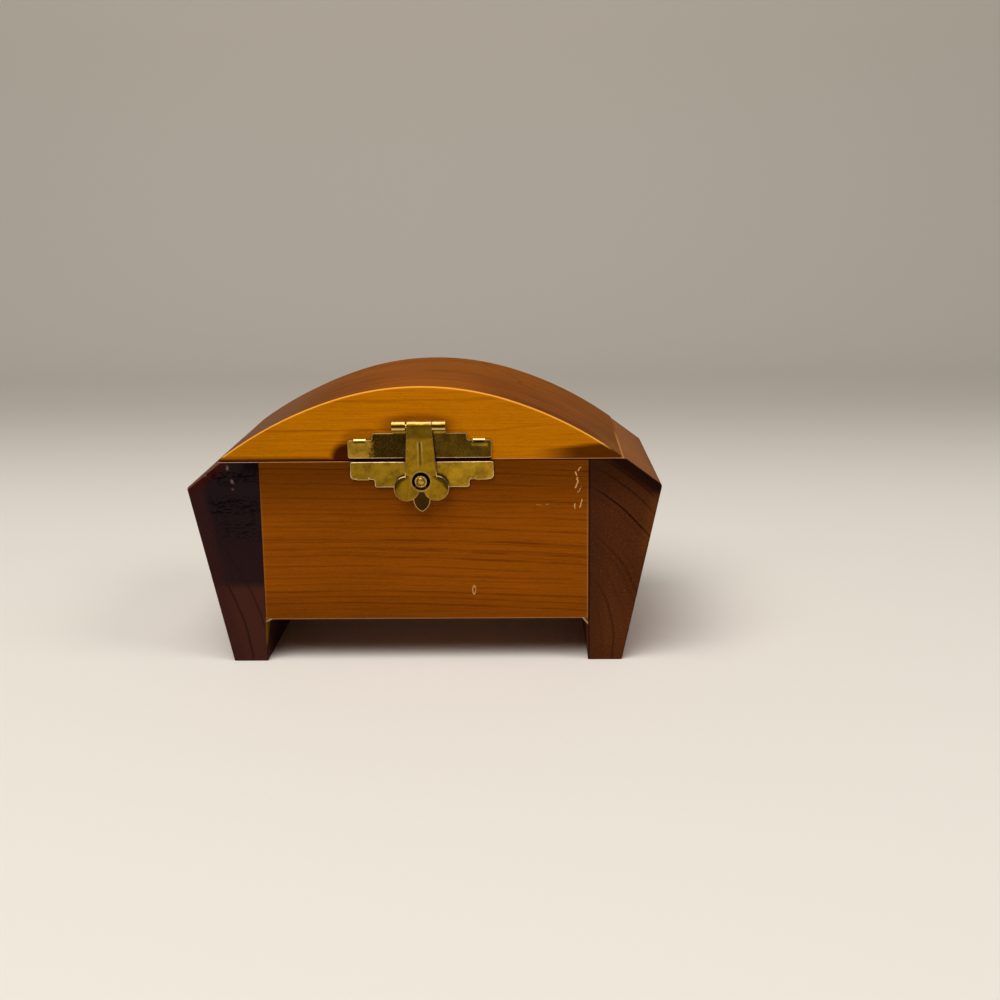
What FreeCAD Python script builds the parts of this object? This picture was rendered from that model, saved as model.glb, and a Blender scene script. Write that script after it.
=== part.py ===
import FreeCAD, Part
import math
import os

# A small cedar treasure chest with a domed lid, a stamped brass hasp and two brass hinges.
# Millimetres. +Z is up, the front faces -Y, +X is to the right of someone facing the front.
# The origin is on the surface that the chest stands on, under its middle.

# Wooden chest
DEPTH = 63.0              # front face to back face
FLARE_WIDTH = 112.0       # across the widest corners of the end blocks
FLARE_HEIGHT = 42.8       # those corners above the floor
FOOT_WIDTH = 93.8         # across the outsides of the feet
INNER_WIDTH = 77.4        # between the end blocks
SEAM_WIDTH = 95.8         # across the upper corners of the end blocks
SEAM_ASIDE = -0.25        # middle of those corners from the middle of the chest
SEAM_HEIGHT = 49.0        # top of the box
PANEL_RISE = 10.4         # front and back panels above the floor
PANEL_THICKNESS = 7.5
PANEL_TONGUE_LENGTH = 4.0
PANEL_TONGUE_THICKNESS = 2.5
BOTTOM_RISE = 2.5         # bottom board above the lower edge of the panels
BOTTOM_THICKNESS = 4.0
BOTTOM_GROOVE_DEPTH = 3.0
GLUE_CLEARANCE = 0.05     # wood in a wooden groove
EDGE_ROUND = 0.5          # eased edges of the lid and the end blocks

# Domed lid
SEAM_GAP = 0.25           # lid above the box
LID_THICKNESS = 17.25     # at the crown
LID_WIDTH = 95.5
LID_ASIDE = -0.65         # middle of the lid from the middle of the chest
LID_CROWN_RADIUS = 67.5
LID_CROWN_ANGLE = 17.5    # slope in degrees where the crown meets the flatter flanks

# Sheet brass, bent prongs and knuckles, alike on the clasp and the hinges
SHEET = 0.6
PLATE_CORNER = 0.5        # rounded corners of the plates
PRONG_WIDTH = 2.8
PRONG_LENGTH = 5.0        # straight part that is driven into the wood
PRONG_POINT_LENGTH = 2.0
BEND_RADIUS = 0.2         # inside of the bend
PRONG_CLEARANCE = 0.05    # slot in the wood round a prong
PIN_RADIUS = 0.6
PIN_CLEARANCE = 0.05
CURL_GAP = 0.15           # slit where the rolled sheet ends
KNUCKLE_GAP = 0.3         # knuckle to the edge of a plate beside it
KNUCKLE_SIDE_GAP = 0.2    # between neighbouring knuckles
KNUCKLE_LIFT = 0.15       # knuckle clear of the wood

# Clasp plate on the lid
LID_PLATE_ASIDE = -0.95   # middle of the plate from the middle of the chest
LID_PLATE_MARGIN = 0.55   # plate above the lower edge of the lid
LID_PLATE_WIDTH = 33.6
LID_PLATE_WING_HEIGHT = 4.5
LID_PLATE_INNER_WIDTH = 22.1
LID_PLATE_HEIGHT = 6.15
CLASP_KNUCKLE_WIDTH = 3.1

# Hasp
HASP_KNUCKLE_WIDTH = 5.85
HASP_SHOULDER_WIDTH = 7.4
EYE_DROP = 12.85          # eye below the pin
EYE_RADIUS = 2.15
SHOULDER_ABOVE_EYE = 1.75
LOBE_BELOW_EYE = 1.75
LOBE_SPREAD = 3.45        # middle of a lobe from the middle of the hasp
LOBE_RADIUS = 3.0
TIP_BELOW_LOBES = 5.55
TIP_LENGTH = 2.95         # pointed part of the tip
TIP_WIDTH = 3.94
RIB_BELOW_PIN = 3.5
RIB_LENGTH = 6.5
RIB_WIDTH = 0.8
RIB_POINT_LENGTH = 0.9
RIB_HEIGHT = 0.25

# Clasp plate on the box, with its riveted stud
BOX_PLATE_ASIDE = -0.3
BOX_PLATE_MARGIN = 0.1    # plate below the top of the box
BOX_PLATE_WIDTH = 33.6
BOX_PLATE_WING_HEIGHT = 4.0
BOX_PLATE_INNER_WIDTH = 22.2
BOX_PLATE_HEIGHT = 6.05
STUD_ASIDE = 0.4          # stud from the middle of the eye
STUD_BELOW_EYE = 0.3
STUD_RADIUS = 1.45
STUD_NECK_RADIUS = 0.9
STUD_CLEARANCE = 0.3      # stud behind the hanging hasp
STUD_NECK_SHARE = 0.35    # of how far the stud stands out
STUD_ROUND_SHARE = 0.6    # of the head's thickness
RIVET_RADIUS = 1.5
RIVET_THICKNESS = 0.5
RIVET_CLEARANCE = 0.05

# Hinges
HINGE_SPACING = 52.0      # between the middles of the two hinges
HINGE_WIDTH = 17.0
HINGE_WING_HEIGHT = 4.2
HINGE_INNER_WIDTH = 9.4
HINGE_LEAF_HEIGHT = 5.9
HINGE_MIDDLE_KNUCKLE_WIDTH = 5.4
HINGE_END_KNUCKLE_WIDTH = 2.9

CUT_OVERRUN = 1.0         # how far a cut runs past what it cuts

# Places that follow from the sizes
PANEL_INNER_FACE = DEPTH / 2 - PANEL_THICKNESS
BOTTOM_LOW = PANEL_RISE + BOTTOM_RISE
LID_LOW = SEAM_HEIGHT + SEAM_GAP
LID_TOP = LID_LOW + LID_THICKNESS
BORE_RADIUS = PIN_RADIUS + PIN_CLEARANCE
KNUCKLE_RADIUS = BORE_RADIUS + SHEET
NECK_LENGTH = KNUCKLE_RADIUS + KNUCKLE_GAP
PIN_STANDOFF = KNUCKLE_RADIUS + KNUCKLE_LIFT
HASP_STANDOFF = PIN_STANDOFF + BORE_RADIUS
LID_PLATE_LOW = LID_LOW + LID_PLATE_MARGIN
CLASP_PIN_HEIGHT = LID_PLATE_LOW + LID_PLATE_HEIGHT + NECK_LENGTH
CLASP_KNUCKLE_PLACE = (HASP_KNUCKLE_WIDTH + CLASP_KNUCKLE_WIDTH) / 2 + KNUCKLE_SIDE_GAP
BOX_PLATE_HIGH = SEAM_HEIGHT - BOX_PLATE_MARGIN
STUD_PLACE = LID_PLATE_ASIDE + STUD_ASIDE
STUD_ABOVE_FLOOR = CLASP_PIN_HEIGHT - EYE_DROP - STUD_BELOW_EYE
HINGE_PIN_HEIGHT = SEAM_HEIGHT + SEAM_GAP / 2
HINGE_KNUCKLE_PLACE = (HINGE_MIDDLE_KNUCKLE_WIDTH + HINGE_END_KNUCKLE_WIDTH) / 2 + KNUCKLE_SIDE_GAP
HINGE_PLACES = {"left": -HINGE_SPACING / 2, "right": HINGE_SPACING / 2}

ORIGIN = FreeCAD.Vector(0, 0, 0)
ALONG_X = FreeCAD.Vector(1, 0, 0)
ALONG_Y = FreeCAD.Vector(0, 1, 0)
ALONG_Z = FreeCAD.Vector(0, 0, 1)


def box(corner, opposite):
    """A box between two opposite corners."""
    low = [min(a, b) for a, b in zip(corner, opposite)]
    high = [max(a, b) for a, b in zip(corner, opposite)]
    return Part.makeBox(*[b - a for a, b in zip(low, high)], FreeCAD.Vector(*low))


def upright(x, z):
    """A point in the plane of the front view."""
    return FreeCAD.Vector(x, 0, z)


def slab(edges, start, thickness):
    """Closed edges of the front view, carried from y = start over a thickness."""
    face = Part.Face(Part.Wire(Part.sortEdges(edges)[0]))
    face.translate(ALONG_Y * start)
    return face.extrude(ALONG_Y * thickness)


def outline(points):
    """Straight edges round a list of points."""
    return [Part.makeLine(a, b) for a, b in zip(points, points[1:] + points[:1])]


def tangent_arc(start, heading, end):
    """The arc that leaves start along heading and arrives at end."""
    chord = end - start
    along = FreeCAD.Vector(chord).normalize()
    bulge = (heading - along * heading.dot(along)).normalize()
    rise = chord.Length / 2 * math.tan(heading.getAngle(chord) / 2)
    return Part.Arc(start, start + chord / 2 + bulge * rise, end).toShape()


def rod(radius, length):
    """A round bar along X, middle at the origin."""
    return Part.makeCylinder(radius, length, ALONG_X * (-length / 2), ALONG_X)


def on_front(shape, x, z=0):
    """Carries a plate made on the plane y = 0 to the front face."""
    return shape.translated(FreeCAD.Vector(x, -DEPTH / 2, z))


def on_back(shape, x, z=0):
    """Carries a plate made on the plane y = 0 to the back face, turned to face backwards."""
    return shape.rotated(ORIGIN, ALONG_Z, 180).translated(FreeCAD.Vector(x, DEPTH / 2, z))


def upside_down(shape):
    return shape.mirror(ORIGIN, ALONG_Z)


def ease(solid, shows):
    """Rounds the edges whose middle shows on the outside of the chest."""
    edges = []
    for edge in solid.Edges:
        if shows(edge.valueAt((edge.FirstParameter + edge.LastParameter) / 2)):
            edges.append(edge)
    return solid.makeFillet(EDGE_ROUND, edges)


def lid_board():
    """Solid domed lid: a round crown that runs into flatter flanks."""
    slope = math.radians(LID_CROWN_ANGLE)
    crown_end = LID_CROWN_RADIUS * math.sin(slope)
    crown_drop = LID_CROWN_RADIUS * (1 - math.cos(slope))
    crown = Part.Arc(
        upright(-crown_end, LID_TOP - crown_drop),
        upright(0, LID_TOP),
        upright(crown_end, LID_TOP - crown_drop),
    ).toShape()
    edges = [crown]
    for side in (-1, 1):
        start = upright(side * crown_end, LID_TOP - crown_drop)
        heading = upright(side * math.cos(slope), -math.sin(slope))
        edges.append(tangent_arc(start, heading, upright(side * LID_WIDTH / 2, LID_LOW)))
    edges.append(Part.makeLine(upright(-LID_WIDTH / 2, LID_LOW), upright(LID_WIDTH / 2, LID_LOW)))

    def shows(middle):
        return abs(middle.y) > DEPTH / 2 - EDGE_ROUND and middle.z > LID_LOW + EDGE_ROUND
    return ease(slab(edges, -DEPTH / 2, DEPTH), shows).translated(ALONG_X * LID_ASIDE)


def panel_tongue(side, end, clearance):
    """Tongue of the front (side -1) or back panel at one end, or with a clearance its groove."""
    middle = side * (DEPTH / 2 - PANEL_THICKNESS / 2)
    half = PANEL_TONGUE_THICKNESS / 2 + clearance
    reach = INNER_WIDTH / 2 + PANEL_TONGUE_LENGTH + clearance
    return box((end * INNER_WIDTH / 2, middle - half, PANEL_RISE), (end * reach, middle + half, SEAM_HEIGHT))


def end_block(end):
    """Flared end of the chest, which is also its foot, grooved for both panels."""
    points = [
        upright(end * INNER_WIDTH / 2, 0),
        upright(end * FOOT_WIDTH / 2, 0),
        upright(end * FLARE_WIDTH / 2, FLARE_HEIGHT),
        upright(SEAM_ASIDE + end * SEAM_WIDTH / 2, SEAM_HEIGHT),
        upright(end * INNER_WIDTH / 2, SEAM_HEIGHT),
    ]

    def shows(middle):
        off_joints = abs(middle.x) > INNER_WIDTH / 2 + EDGE_ROUND
        return off_joints and EDGE_ROUND < middle.z < SEAM_HEIGHT - EDGE_ROUND
    block = ease(slab(outline(points), -DEPTH / 2, DEPTH), shows)
    for side in (-1, 1):
        block = block.cut(panel_tongue(side, end, GLUE_CLEARANCE))
    return block


def panel(side):
    """Front (side -1) or back panel with a tongue at each end and a groove for the bottom board."""
    outer = side * DEPTH / 2
    inner = side * PANEL_INNER_FACE
    half = INNER_WIDTH / 2
    board = box((-half, outer, PANEL_RISE), (half, inner, SEAM_HEIGHT))
    for end in (-1, 1):
        board = board.fuse(panel_tongue(side, end, 0))
    groove_high = BOTTOM_LOW + BOTTOM_THICKNESS + GLUE_CLEARANCE
    groove = box((-half, inner, BOTTOM_LOW), (half, inner + side * BOTTOM_GROOVE_DEPTH, groove_high))
    return board.removeSplitter().cut(groove)


def bottom_board():
    """Thin board that slides in the grooves of the two panels and butts against the end blocks."""
    half = INNER_WIDTH / 2
    reach = PANEL_INNER_FACE + BOTTOM_GROOVE_DEPTH - GLUE_CLEARANCE
    return box((-half, -reach, BOTTOM_LOW), (half, reach, BOTTOM_LOW + BOTTOM_THICKNESS))


def prong(clearance):
    """Strip bent back from an upper edge at z = 0 into the wood, or with a clearance its slot."""
    inside = BEND_RADIUS - clearance
    outside = BEND_RADIUS + SHEET + clearance
    half = PRONG_WIDTH / 2 + clearance
    length = PRONG_LENGTH + clearance
    ring = Part.makeCylinder(outside, 2 * half).cut(Part.makeCylinder(inside, 2 * half))
    ring = ring.common(box((0, 0, 0), (outside, outside, 2 * half)))
    ring.rotate(ORIGIN, ALONG_Y, -90)
    ring.rotate(ORIGIN, ALONG_X, 90)
    bend = ring.translated(FreeCAD.Vector(half, BEND_RADIUS, 0))
    run = outline([
        FreeCAD.Vector(-half, BEND_RADIUS, inside),
        FreeCAD.Vector(half, BEND_RADIUS, inside),
        FreeCAD.Vector(half, BEND_RADIUS + length - PRONG_POINT_LENGTH, inside),
        FreeCAD.Vector(0, BEND_RADIUS + length, inside),
        FreeCAD.Vector(-half, BEND_RADIUS + length - PRONG_POINT_LENGTH, inside),
    ])
    strip = Part.Face(Part.Wire(run)).extrude(ALONG_Z * (outside - inside))
    return bend.fuse(strip)


def prong_pair(width, inner_width, edge, clearance):
    """Prongs in the middle of both wings of a plate, on the upper edge of the wings."""
    place = (width + inner_width) / 4
    return [prong(clearance).translated(upright(side * place, edge)) for side in (-1, 1)]


def stepped_plate(width, wing_height, inner_width, height):
    """Flat plate on the plane y = 0 with its lower edge at z = 0 and a taller middle part."""
    wings = box((-width / 2, -SHEET, 0), (width / 2, 0, wing_height))
    middle = box((-inner_width / 2, -SHEET, 0), (inner_width / 2, 0, height))
    plate = wings.fuse(middle).removeSplitter()
    corners = [edge for edge in plate.Edges if math.isclose(edge.BoundBox.YLength, SHEET, rel_tol=0.01)]
    return plate.makeFillet(PLATE_CORNER, corners)


def knuckle(width, neck_length):
    """Rolled sheet round a pin on the X axis. Its neck runs down on the side of the wood, +Y."""
    rolled = rod(KNUCKLE_RADIUS, width).cut(rod(BORE_RADIUS, width))
    slit_reach = KNUCKLE_RADIUS + CUT_OVERRUN
    slit = box((-width / 2, BORE_RADIUS - CURL_GAP, -slit_reach), (width / 2, BORE_RADIUS, 0))
    neck = box((-width / 2, BORE_RADIUS, -neck_length), (width / 2, KNUCKLE_RADIUS, 0))
    return rolled.cut(slit).fuse(neck)


def joined(first, others):
    return first.fuse(others).removeSplitter()


def clasp_lid_plate():
    """Plate on the lid's front: two knuckles above it, prongs bent back over the wings."""
    plate = stepped_plate(LID_PLATE_WIDTH, LID_PLATE_WING_HEIGHT, LID_PLATE_INNER_WIDTH, LID_PLATE_HEIGHT)
    roll = knuckle(CLASP_KNUCKLE_WIDTH, NECK_LENGTH)
    axis = FreeCAD.Vector(0, -PIN_STANDOFF, LID_PLATE_HEIGHT + NECK_LENGTH)
    rolls = [roll.translated(axis + ALONG_X * side * CLASP_KNUCKLE_PLACE) for side in (-1, 1)]
    plate = joined(plate, rolls + clasp_lid_prongs(0))
    return on_front(plate, LID_PLATE_ASIDE, LID_PLATE_LOW)


def clasp_lid_prongs(clearance):
    return prong_pair(LID_PLATE_WIDTH, LID_PLATE_INNER_WIDTH, LID_PLATE_WING_HEIGHT, clearance)


def clasp_box_plate():
    """Plate on the front panel: the lid's plate upside down, without knuckles, bored for the stud."""
    plate = stepped_plate(BOX_PLATE_WIDTH, BOX_PLATE_WING_HEIGHT, BOX_PLATE_INNER_WIDTH, BOX_PLATE_HEIGHT)
    plate = upside_down(joined(plate, clasp_box_prongs(0)))
    bore = Part.makeCylinder(STUD_NECK_RADIUS + RIVET_CLEARANCE, 2 * SHEET, ALONG_Y * -SHEET, ALONG_Y)
    bore.translate(upright(STUD_PLACE, STUD_ABOVE_FLOOR))
    return on_front(plate, BOX_PLATE_ASIDE, BOX_PLATE_HIGH).cut(on_front(bore, 0))


def clasp_box_prongs(clearance):
    return prong_pair(BOX_PLATE_WIDTH, BOX_PLATE_INNER_WIDTH, BOX_PLATE_WING_HEIGHT, clearance)


def rivet(clearance):
    """Flat tail of the stud behind the plate, or with a clearance its recess in the wood."""
    tail = Part.makeCylinder(RIVET_RADIUS + clearance, RIVET_THICKNESS + clearance, ORIGIN, ALONG_Y)
    return on_front(tail, STUD_PLACE, STUD_ABOVE_FLOOR)


def clasp_stud():
    """Riveted button that the hasp's eye drops over."""
    reach = HASP_STANDOFF - SHEET - STUD_CLEARANCE
    neck_reach = reach * STUD_NECK_SHARE
    head_thickness = reach - neck_reach
    neck = Part.makeCylinder(STUD_NECK_RADIUS, SHEET + neck_reach, ORIGIN, -ALONG_Y)
    head = Part.makeCylinder(STUD_RADIUS, head_thickness, ALONG_Y * -(SHEET + neck_reach), -ALONG_Y)
    front_edges = [edge for edge in head.Edges if math.isclose(edge.BoundBox.YMin, head.BoundBox.YMin)
                   and math.isclose(edge.BoundBox.YMax, head.BoundBox.YMin)]
    head = head.makeFillet(head_thickness * STUD_ROUND_SHARE, front_edges)
    button = on_front(neck.fuse(head), STUD_PLACE, STUD_ABOVE_FLOOR)
    return joined(button, [rivet(0)])


def hasp_outline_shapes():
    """The flat shapes that make up the hasp's tongue, hanging from the pin at the origin."""
    shoulder_drop = EYE_DROP - SHOULDER_ABOVE_EYE
    lobe_drop = EYE_DROP + LOBE_BELOW_EYE
    tip_drop = lobe_drop + TIP_BELOW_LOBES
    point_drop = tip_drop - TIP_LENGTH
    strap = outline([
        upright(-HASP_KNUCKLE_WIDTH / 2, 0),
        upright(HASP_KNUCKLE_WIDTH / 2, 0),
        upright(HASP_SHOULDER_WIDTH / 2, -shoulder_drop),
        upright(HASP_SHOULDER_WIDTH / 2, -lobe_drop),
        upright(-HASP_SHOULDER_WIDTH / 2, -lobe_drop),
        upright(-HASP_SHOULDER_WIDTH / 2, -shoulder_drop),
    ])
    tip = [
        Part.makeLine(upright(-TIP_WIDTH / 2, -lobe_drop), upright(TIP_WIDTH / 2, -lobe_drop)),
        Part.makeLine(upright(TIP_WIDTH / 2, -lobe_drop), upright(TIP_WIDTH / 2, -point_drop)),
        tangent_arc(upright(TIP_WIDTH / 2, -point_drop), -ALONG_Z, upright(0, -tip_drop)),
        tangent_arc(upright(-TIP_WIDTH / 2, -point_drop), -ALONG_Z, upright(0, -tip_drop)),
        Part.makeLine(upright(-TIP_WIDTH / 2, -lobe_drop), upright(-TIP_WIDTH / 2, -point_drop)),
    ]
    lobes = [[Part.makeCircle(LOBE_RADIUS, upright(side * LOBE_SPREAD, -lobe_drop), ALONG_Y)]
             for side in (-1, 1)]
    return [strap, tip] + lobes


def hasp_rib():
    """Raised rib with a pointed top, down the middle of the hasp."""
    half = RIB_WIDTH / 2
    low = RIB_BELOW_PIN + RIB_LENGTH
    points = [
        upright(0, -RIB_BELOW_PIN),
        upright(half, -RIB_BELOW_PIN - RIB_POINT_LENGTH),
        upright(half, -low),
        upright(-half, -low),
        upright(-half, -RIB_BELOW_PIN - RIB_POINT_LENGTH),
    ]
    return slab(outline(points), -KNUCKLE_RADIUS - RIB_HEIGHT, SHEET)


def clasp_hasp():
    """Tongue rolled round the clasp pin, with an eye, two lobes and a pointed finger tip."""
    tongue = [slab(edges, -KNUCKLE_RADIUS, SHEET) for edges in hasp_outline_shapes()]
    roll = knuckle(HASP_KNUCKLE_WIDTH, NECK_LENGTH).mirror(ORIGIN, ALONG_Y)
    hasp = joined(roll, tongue + [hasp_rib()])
    eye = Part.makeCylinder(EYE_RADIUS, 2 * KNUCKLE_RADIUS, ALONG_Y * -2 * KNUCKLE_RADIUS, ALONG_Y)
    hasp = hasp.cut(eye.translated(upright(0, -EYE_DROP)))
    return on_front(hasp.translated(ALONG_Y * -PIN_STANDOFF), LID_PLATE_ASIDE, CLASP_PIN_HEIGHT)


def clasp_hinge_pin():
    length = HASP_KNUCKLE_WIDTH + 2 * (KNUCKLE_SIDE_GAP + CLASP_KNUCKLE_WIDTH)
    wire = rod(PIN_RADIUS, length).translated(ALONG_Y * -PIN_STANDOFF)
    return on_front(wire, LID_PLATE_ASIDE, CLASP_PIN_HEIGHT)


def hinge_prongs(clearance):
    """Prongs of a leaf that stands up from a pin at the origin."""
    edge = NECK_LENGTH + HINGE_WING_HEIGHT
    return prong_pair(HINGE_WIDTH, HINGE_INNER_WIDTH, edge, clearance)


def hinge_leaf(knuckle_width, knuckle_places):
    """Leaf that stands up from a pin at the origin, flat on the plane y = 0."""
    plate = stepped_plate(HINGE_WIDTH, HINGE_WING_HEIGHT, HINGE_INNER_WIDTH, HINGE_LEAF_HEIGHT)
    roll = upside_down(knuckle(knuckle_width, NECK_LENGTH))
    rolls = [roll.translated(FreeCAD.Vector(x, -PIN_STANDOFF, 0)) for x in knuckle_places]
    return joined(plate.translated(ALONG_Z * NECK_LENGTH), rolls + hinge_prongs(0))


def hinge(x):
    """Lid leaf, box leaf and pin of the hinge whose middle is at x."""
    lid_leaf = hinge_leaf(HINGE_MIDDLE_KNUCKLE_WIDTH, [0])
    ends = [-HINGE_KNUCKLE_PLACE, HINGE_KNUCKLE_PLACE]
    box_leaf = upside_down(hinge_leaf(HINGE_END_KNUCKLE_WIDTH, ends))
    length = HINGE_MIDDLE_KNUCKLE_WIDTH + 2 * (KNUCKLE_SIDE_GAP + HINGE_END_KNUCKLE_WIDTH)
    pin = rod(PIN_RADIUS, length).translated(ALONG_Y * -PIN_STANDOFF)
    pieces = {"lid_leaf": lid_leaf, "box_leaf": box_leaf, "pin": pin}
    return {name: on_back(piece, x, HINGE_PIN_HEIGHT) for name, piece in pieces.items()}


def lid():
    """Lid with the slots of the clasp plate in front and of the hinge leaves behind."""
    board = lid_board()
    slots = [on_front(slot, LID_PLATE_ASIDE, LID_PLATE_LOW) for slot in clasp_lid_prongs(PRONG_CLEARANCE)]
    for x in HINGE_PLACES.values():
        slots += [on_back(slot, x, HINGE_PIN_HEIGHT) for slot in hinge_prongs(PRONG_CLEARANCE)]
    return board.cut(slots)


def front_panel():
    """Front panel with the slots of the clasp plate and the recess of the stud's tail."""
    slots = [upside_down(slot) for slot in clasp_box_prongs(PRONG_CLEARANCE)]
    slots = [on_front(slot, BOX_PLATE_ASIDE, BOX_PLATE_HIGH) for slot in slots]
    return panel(-1).cut(slots + [rivet(RIVET_CLEARANCE)])


def back_panel():
    """Back panel with the slots of both box leaves."""
    slots = []
    for x in HINGE_PLACES.values():
        slots += [on_back(upside_down(slot), x, HINGE_PIN_HEIGHT) for slot in hinge_prongs(PRONG_CLEARANCE)]
    return panel(1).cut(slots)


pieces = {
    "left_end_block": end_block(-1),
    "right_end_block": end_block(1),
    "front_panel": front_panel(),
    "back_panel": back_panel(),
    "bottom_board": bottom_board(),
    "lid": lid(),
    "clasp_lid_plate": clasp_lid_plate(),
    "clasp_hasp": clasp_hasp(),
    "clasp_hinge_pin": clasp_hinge_pin(),
    "clasp_box_plate": clasp_box_plate(),
    "clasp_stud": clasp_stud(),
}
for side, x in HINGE_PLACES.items():
    for name, piece in hinge(x).items():
        pieces[f"{side}_hinge_{name}"] = piece

os.makedirs("parts", exist_ok=True)
for name, piece in pieces.items():
    piece.exportStep(f"parts/{name}.step")
    print(name, piece.isValid(), len(piece.Solids), round(piece.Volume, 3), piece.BoundBox)
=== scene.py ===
# A small cedar treasure chest with a domed lid, a stamped brass clasp and two brass hinges.
# Metres in the frame, and millimetres in the sizes of the pieces below.
# The front faces -Y, +Z is up, and the chest stands on z = 0.
import math

import bmesh
import bpy
from mathutils import Matrix, Vector


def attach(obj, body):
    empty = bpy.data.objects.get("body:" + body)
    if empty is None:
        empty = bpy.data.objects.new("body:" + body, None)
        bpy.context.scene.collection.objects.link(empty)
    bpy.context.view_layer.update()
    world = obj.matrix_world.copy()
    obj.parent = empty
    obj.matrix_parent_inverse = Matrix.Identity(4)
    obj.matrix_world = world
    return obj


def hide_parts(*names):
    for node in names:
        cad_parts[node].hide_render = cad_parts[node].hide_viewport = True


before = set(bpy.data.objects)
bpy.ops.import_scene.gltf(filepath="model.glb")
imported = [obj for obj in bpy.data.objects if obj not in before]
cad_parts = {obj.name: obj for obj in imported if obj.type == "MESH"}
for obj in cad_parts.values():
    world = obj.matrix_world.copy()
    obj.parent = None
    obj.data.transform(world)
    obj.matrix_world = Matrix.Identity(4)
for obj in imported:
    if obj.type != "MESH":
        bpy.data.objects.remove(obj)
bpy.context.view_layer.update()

# End blocks
# Each end of the chest is one thick block of cedar, sawn to a flare above and to a foot below.
# The grain runs from front to back, so the front shows end grain. The panels are glued in grooves.
MM = 0.001
HALF_DEPTH = 31.5
INNER_HALF = 38.7
FOOT_HALF = 46.9
FLARE_HALF = 56.0
FLARE_HEIGHT = 42.8
SEAM_HALF = 47.9
SEAM_ASIDE = -0.25
SEAM_HEIGHT = 49.0
PANEL_RISE = 10.4
PANEL_THICKNESS = 7.5
TONGUE_LENGTH = 4.0
TONGUE_THICKNESS = 2.5
EASED_EDGE = 0.5
SOFT_EDGE = 0.15
OVERCUT = 1
BACK_SHOULDER_OUT = 0.6
CORNER_REACH = 2.0
MERGE_DISTANCE = 0.002
SHARP_ANGLE = math.radians(40)
SMOOTH_ANGLE = math.radians(50)
BOW_START = -12
END_GRAIN_RELIEF = 0.1


def clear_bench():
    """Leaves edit mode where a piece is open in it, and deselects everything."""
    if bpy.context.mode != "OBJECT":
        bpy.ops.object.mode_set(mode="OBJECT")
    bpy.ops.object.select_all(action="DESELECT")


def name_and_open(name, stretch=(1, 1, 1)):
    """Names the new piece, puts its place and size into its mesh, and opens it in edit mode."""
    piece = bpy.context.object
    piece.name = name
    piece.data.name = name
    piece.scale = stretch
    bpy.ops.object.transform_apply(location=True, rotation=True, scale=True)
    bpy.ops.object.mode_set(mode="EDIT")
    return piece


def start_block(name, low, high):
    """A sawn block between two corners in millimetres, alone and open in edit mode."""
    clear_bench()
    low = Vector(low) * MM
    high = Vector(high) * MM
    bpy.ops.mesh.primitive_cube_add(size=1, location=(low + high) / 2)
    return name_and_open(name, high - low)


def pick_all():
    bpy.ops.mesh.select_all(action="SELECT")


def pick(kind, test):
    """Selects only the faces, edges or corners that pass a test of their place and themselves."""
    bpy.ops.mesh.select_mode(type={"faces": "FACE", "edges": "EDGE", "verts": "VERT"}[kind])
    bpy.ops.mesh.select_all(action="DESELECT")
    mesh = bmesh.from_edit_mesh(bpy.context.object.data)
    for part in getattr(mesh, kind):
        corners = [part] if kind == "verts" else part.verts
        place = sum((corner.co for corner in corners), Vector()) / len(corners) / MM
        if test(place, part):
            part.select_set(True)
    mesh.select_flush_mode()
    bmesh.update_edit_mesh(bpy.context.object.data)


def move(x, y, z):
    """Moves what is selected, in millimetres."""
    bpy.ops.transform.translate(value=(x * MM, y * MM, z * MM))


def saw(place, outward, off=True):
    """Saws off all that lies beyond a plane, which leaves a flat face, or only scores a line there."""
    pick_all()
    place = [part * MM for part in place]
    outward = Vector(outward).normalized()
    bpy.ops.mesh.bisect(plane_co=place, plane_no=outward, use_fill=off, clear_outer=off)


def ease(width, test, steps=3, slot=-1):
    """Rounds the edges that pass a test."""
    pick("edges", test)
    bpy.ops.mesh.bevel(offset=width * MM, segments=steps, affect="EDGES", clamp_overlap=True, material=slot)


def close_piece(piece, softening, rim_slot=-1):
    """Leaves edit mode with clean outward faces, and takes the sharpness off what is still sharp."""
    bpy.ops.mesh.select_mode(type="VERT")
    pick_all()
    bpy.ops.mesh.remove_doubles(threshold=MERGE_DISTANCE * MM)
    bpy.ops.mesh.normals_make_consistent(inside=False)
    bpy.ops.object.mode_set(mode="OBJECT")
    rounding = piece.modifiers.new("rounding", "BEVEL")
    rounding.width = softening * MM
    rounding.segments = 2
    rounding.limit_method = "ANGLE"
    rounding.angle_limit = SHARP_ANGLE
    rounding.material = rim_slot
    bpy.ops.object.modifier_apply(modifier=rounding.name)
    even_shading(piece)


def even_shading(piece):
    """Smooth shading over the rounded edges that leaves the flat faces flat."""
    bpy.ops.object.shade_smooth_by_angle(angle=SMOOTH_ANGLE)
    weighting = piece.modifiers.new("weighting", "WEIGHTED_NORMAL")
    weighting.keep_sharp = True
    bpy.ops.object.modifier_apply(modifier=weighting.name)


def take_up(piece):
    """Selects one finished piece alone."""
    clear_bench()
    piece.select_set(True)
    bpy.context.view_layer.objects.active = piece


def carve(piece, other, way):
    """Cuts a piece with another one, or joins them, and takes the other one away."""
    take_up(piece)
    cut = piece.modifiers.new("cut", "BOOLEAN")
    cut.operation = way
    cut.solver = "EXACT"
    cut.object = other
    bpy.ops.object.modifier_apply(modifier=cut.name)
    bpy.data.objects.remove(other)


def coat(piece, *materials):
    for material in materials:
        piece.data.materials.append(material)


def settle(piece, body, slot, *nodes):
    """Gives a piece its place in the chest that the frame describes."""
    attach(piece, body)
    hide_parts(*nodes)


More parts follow.
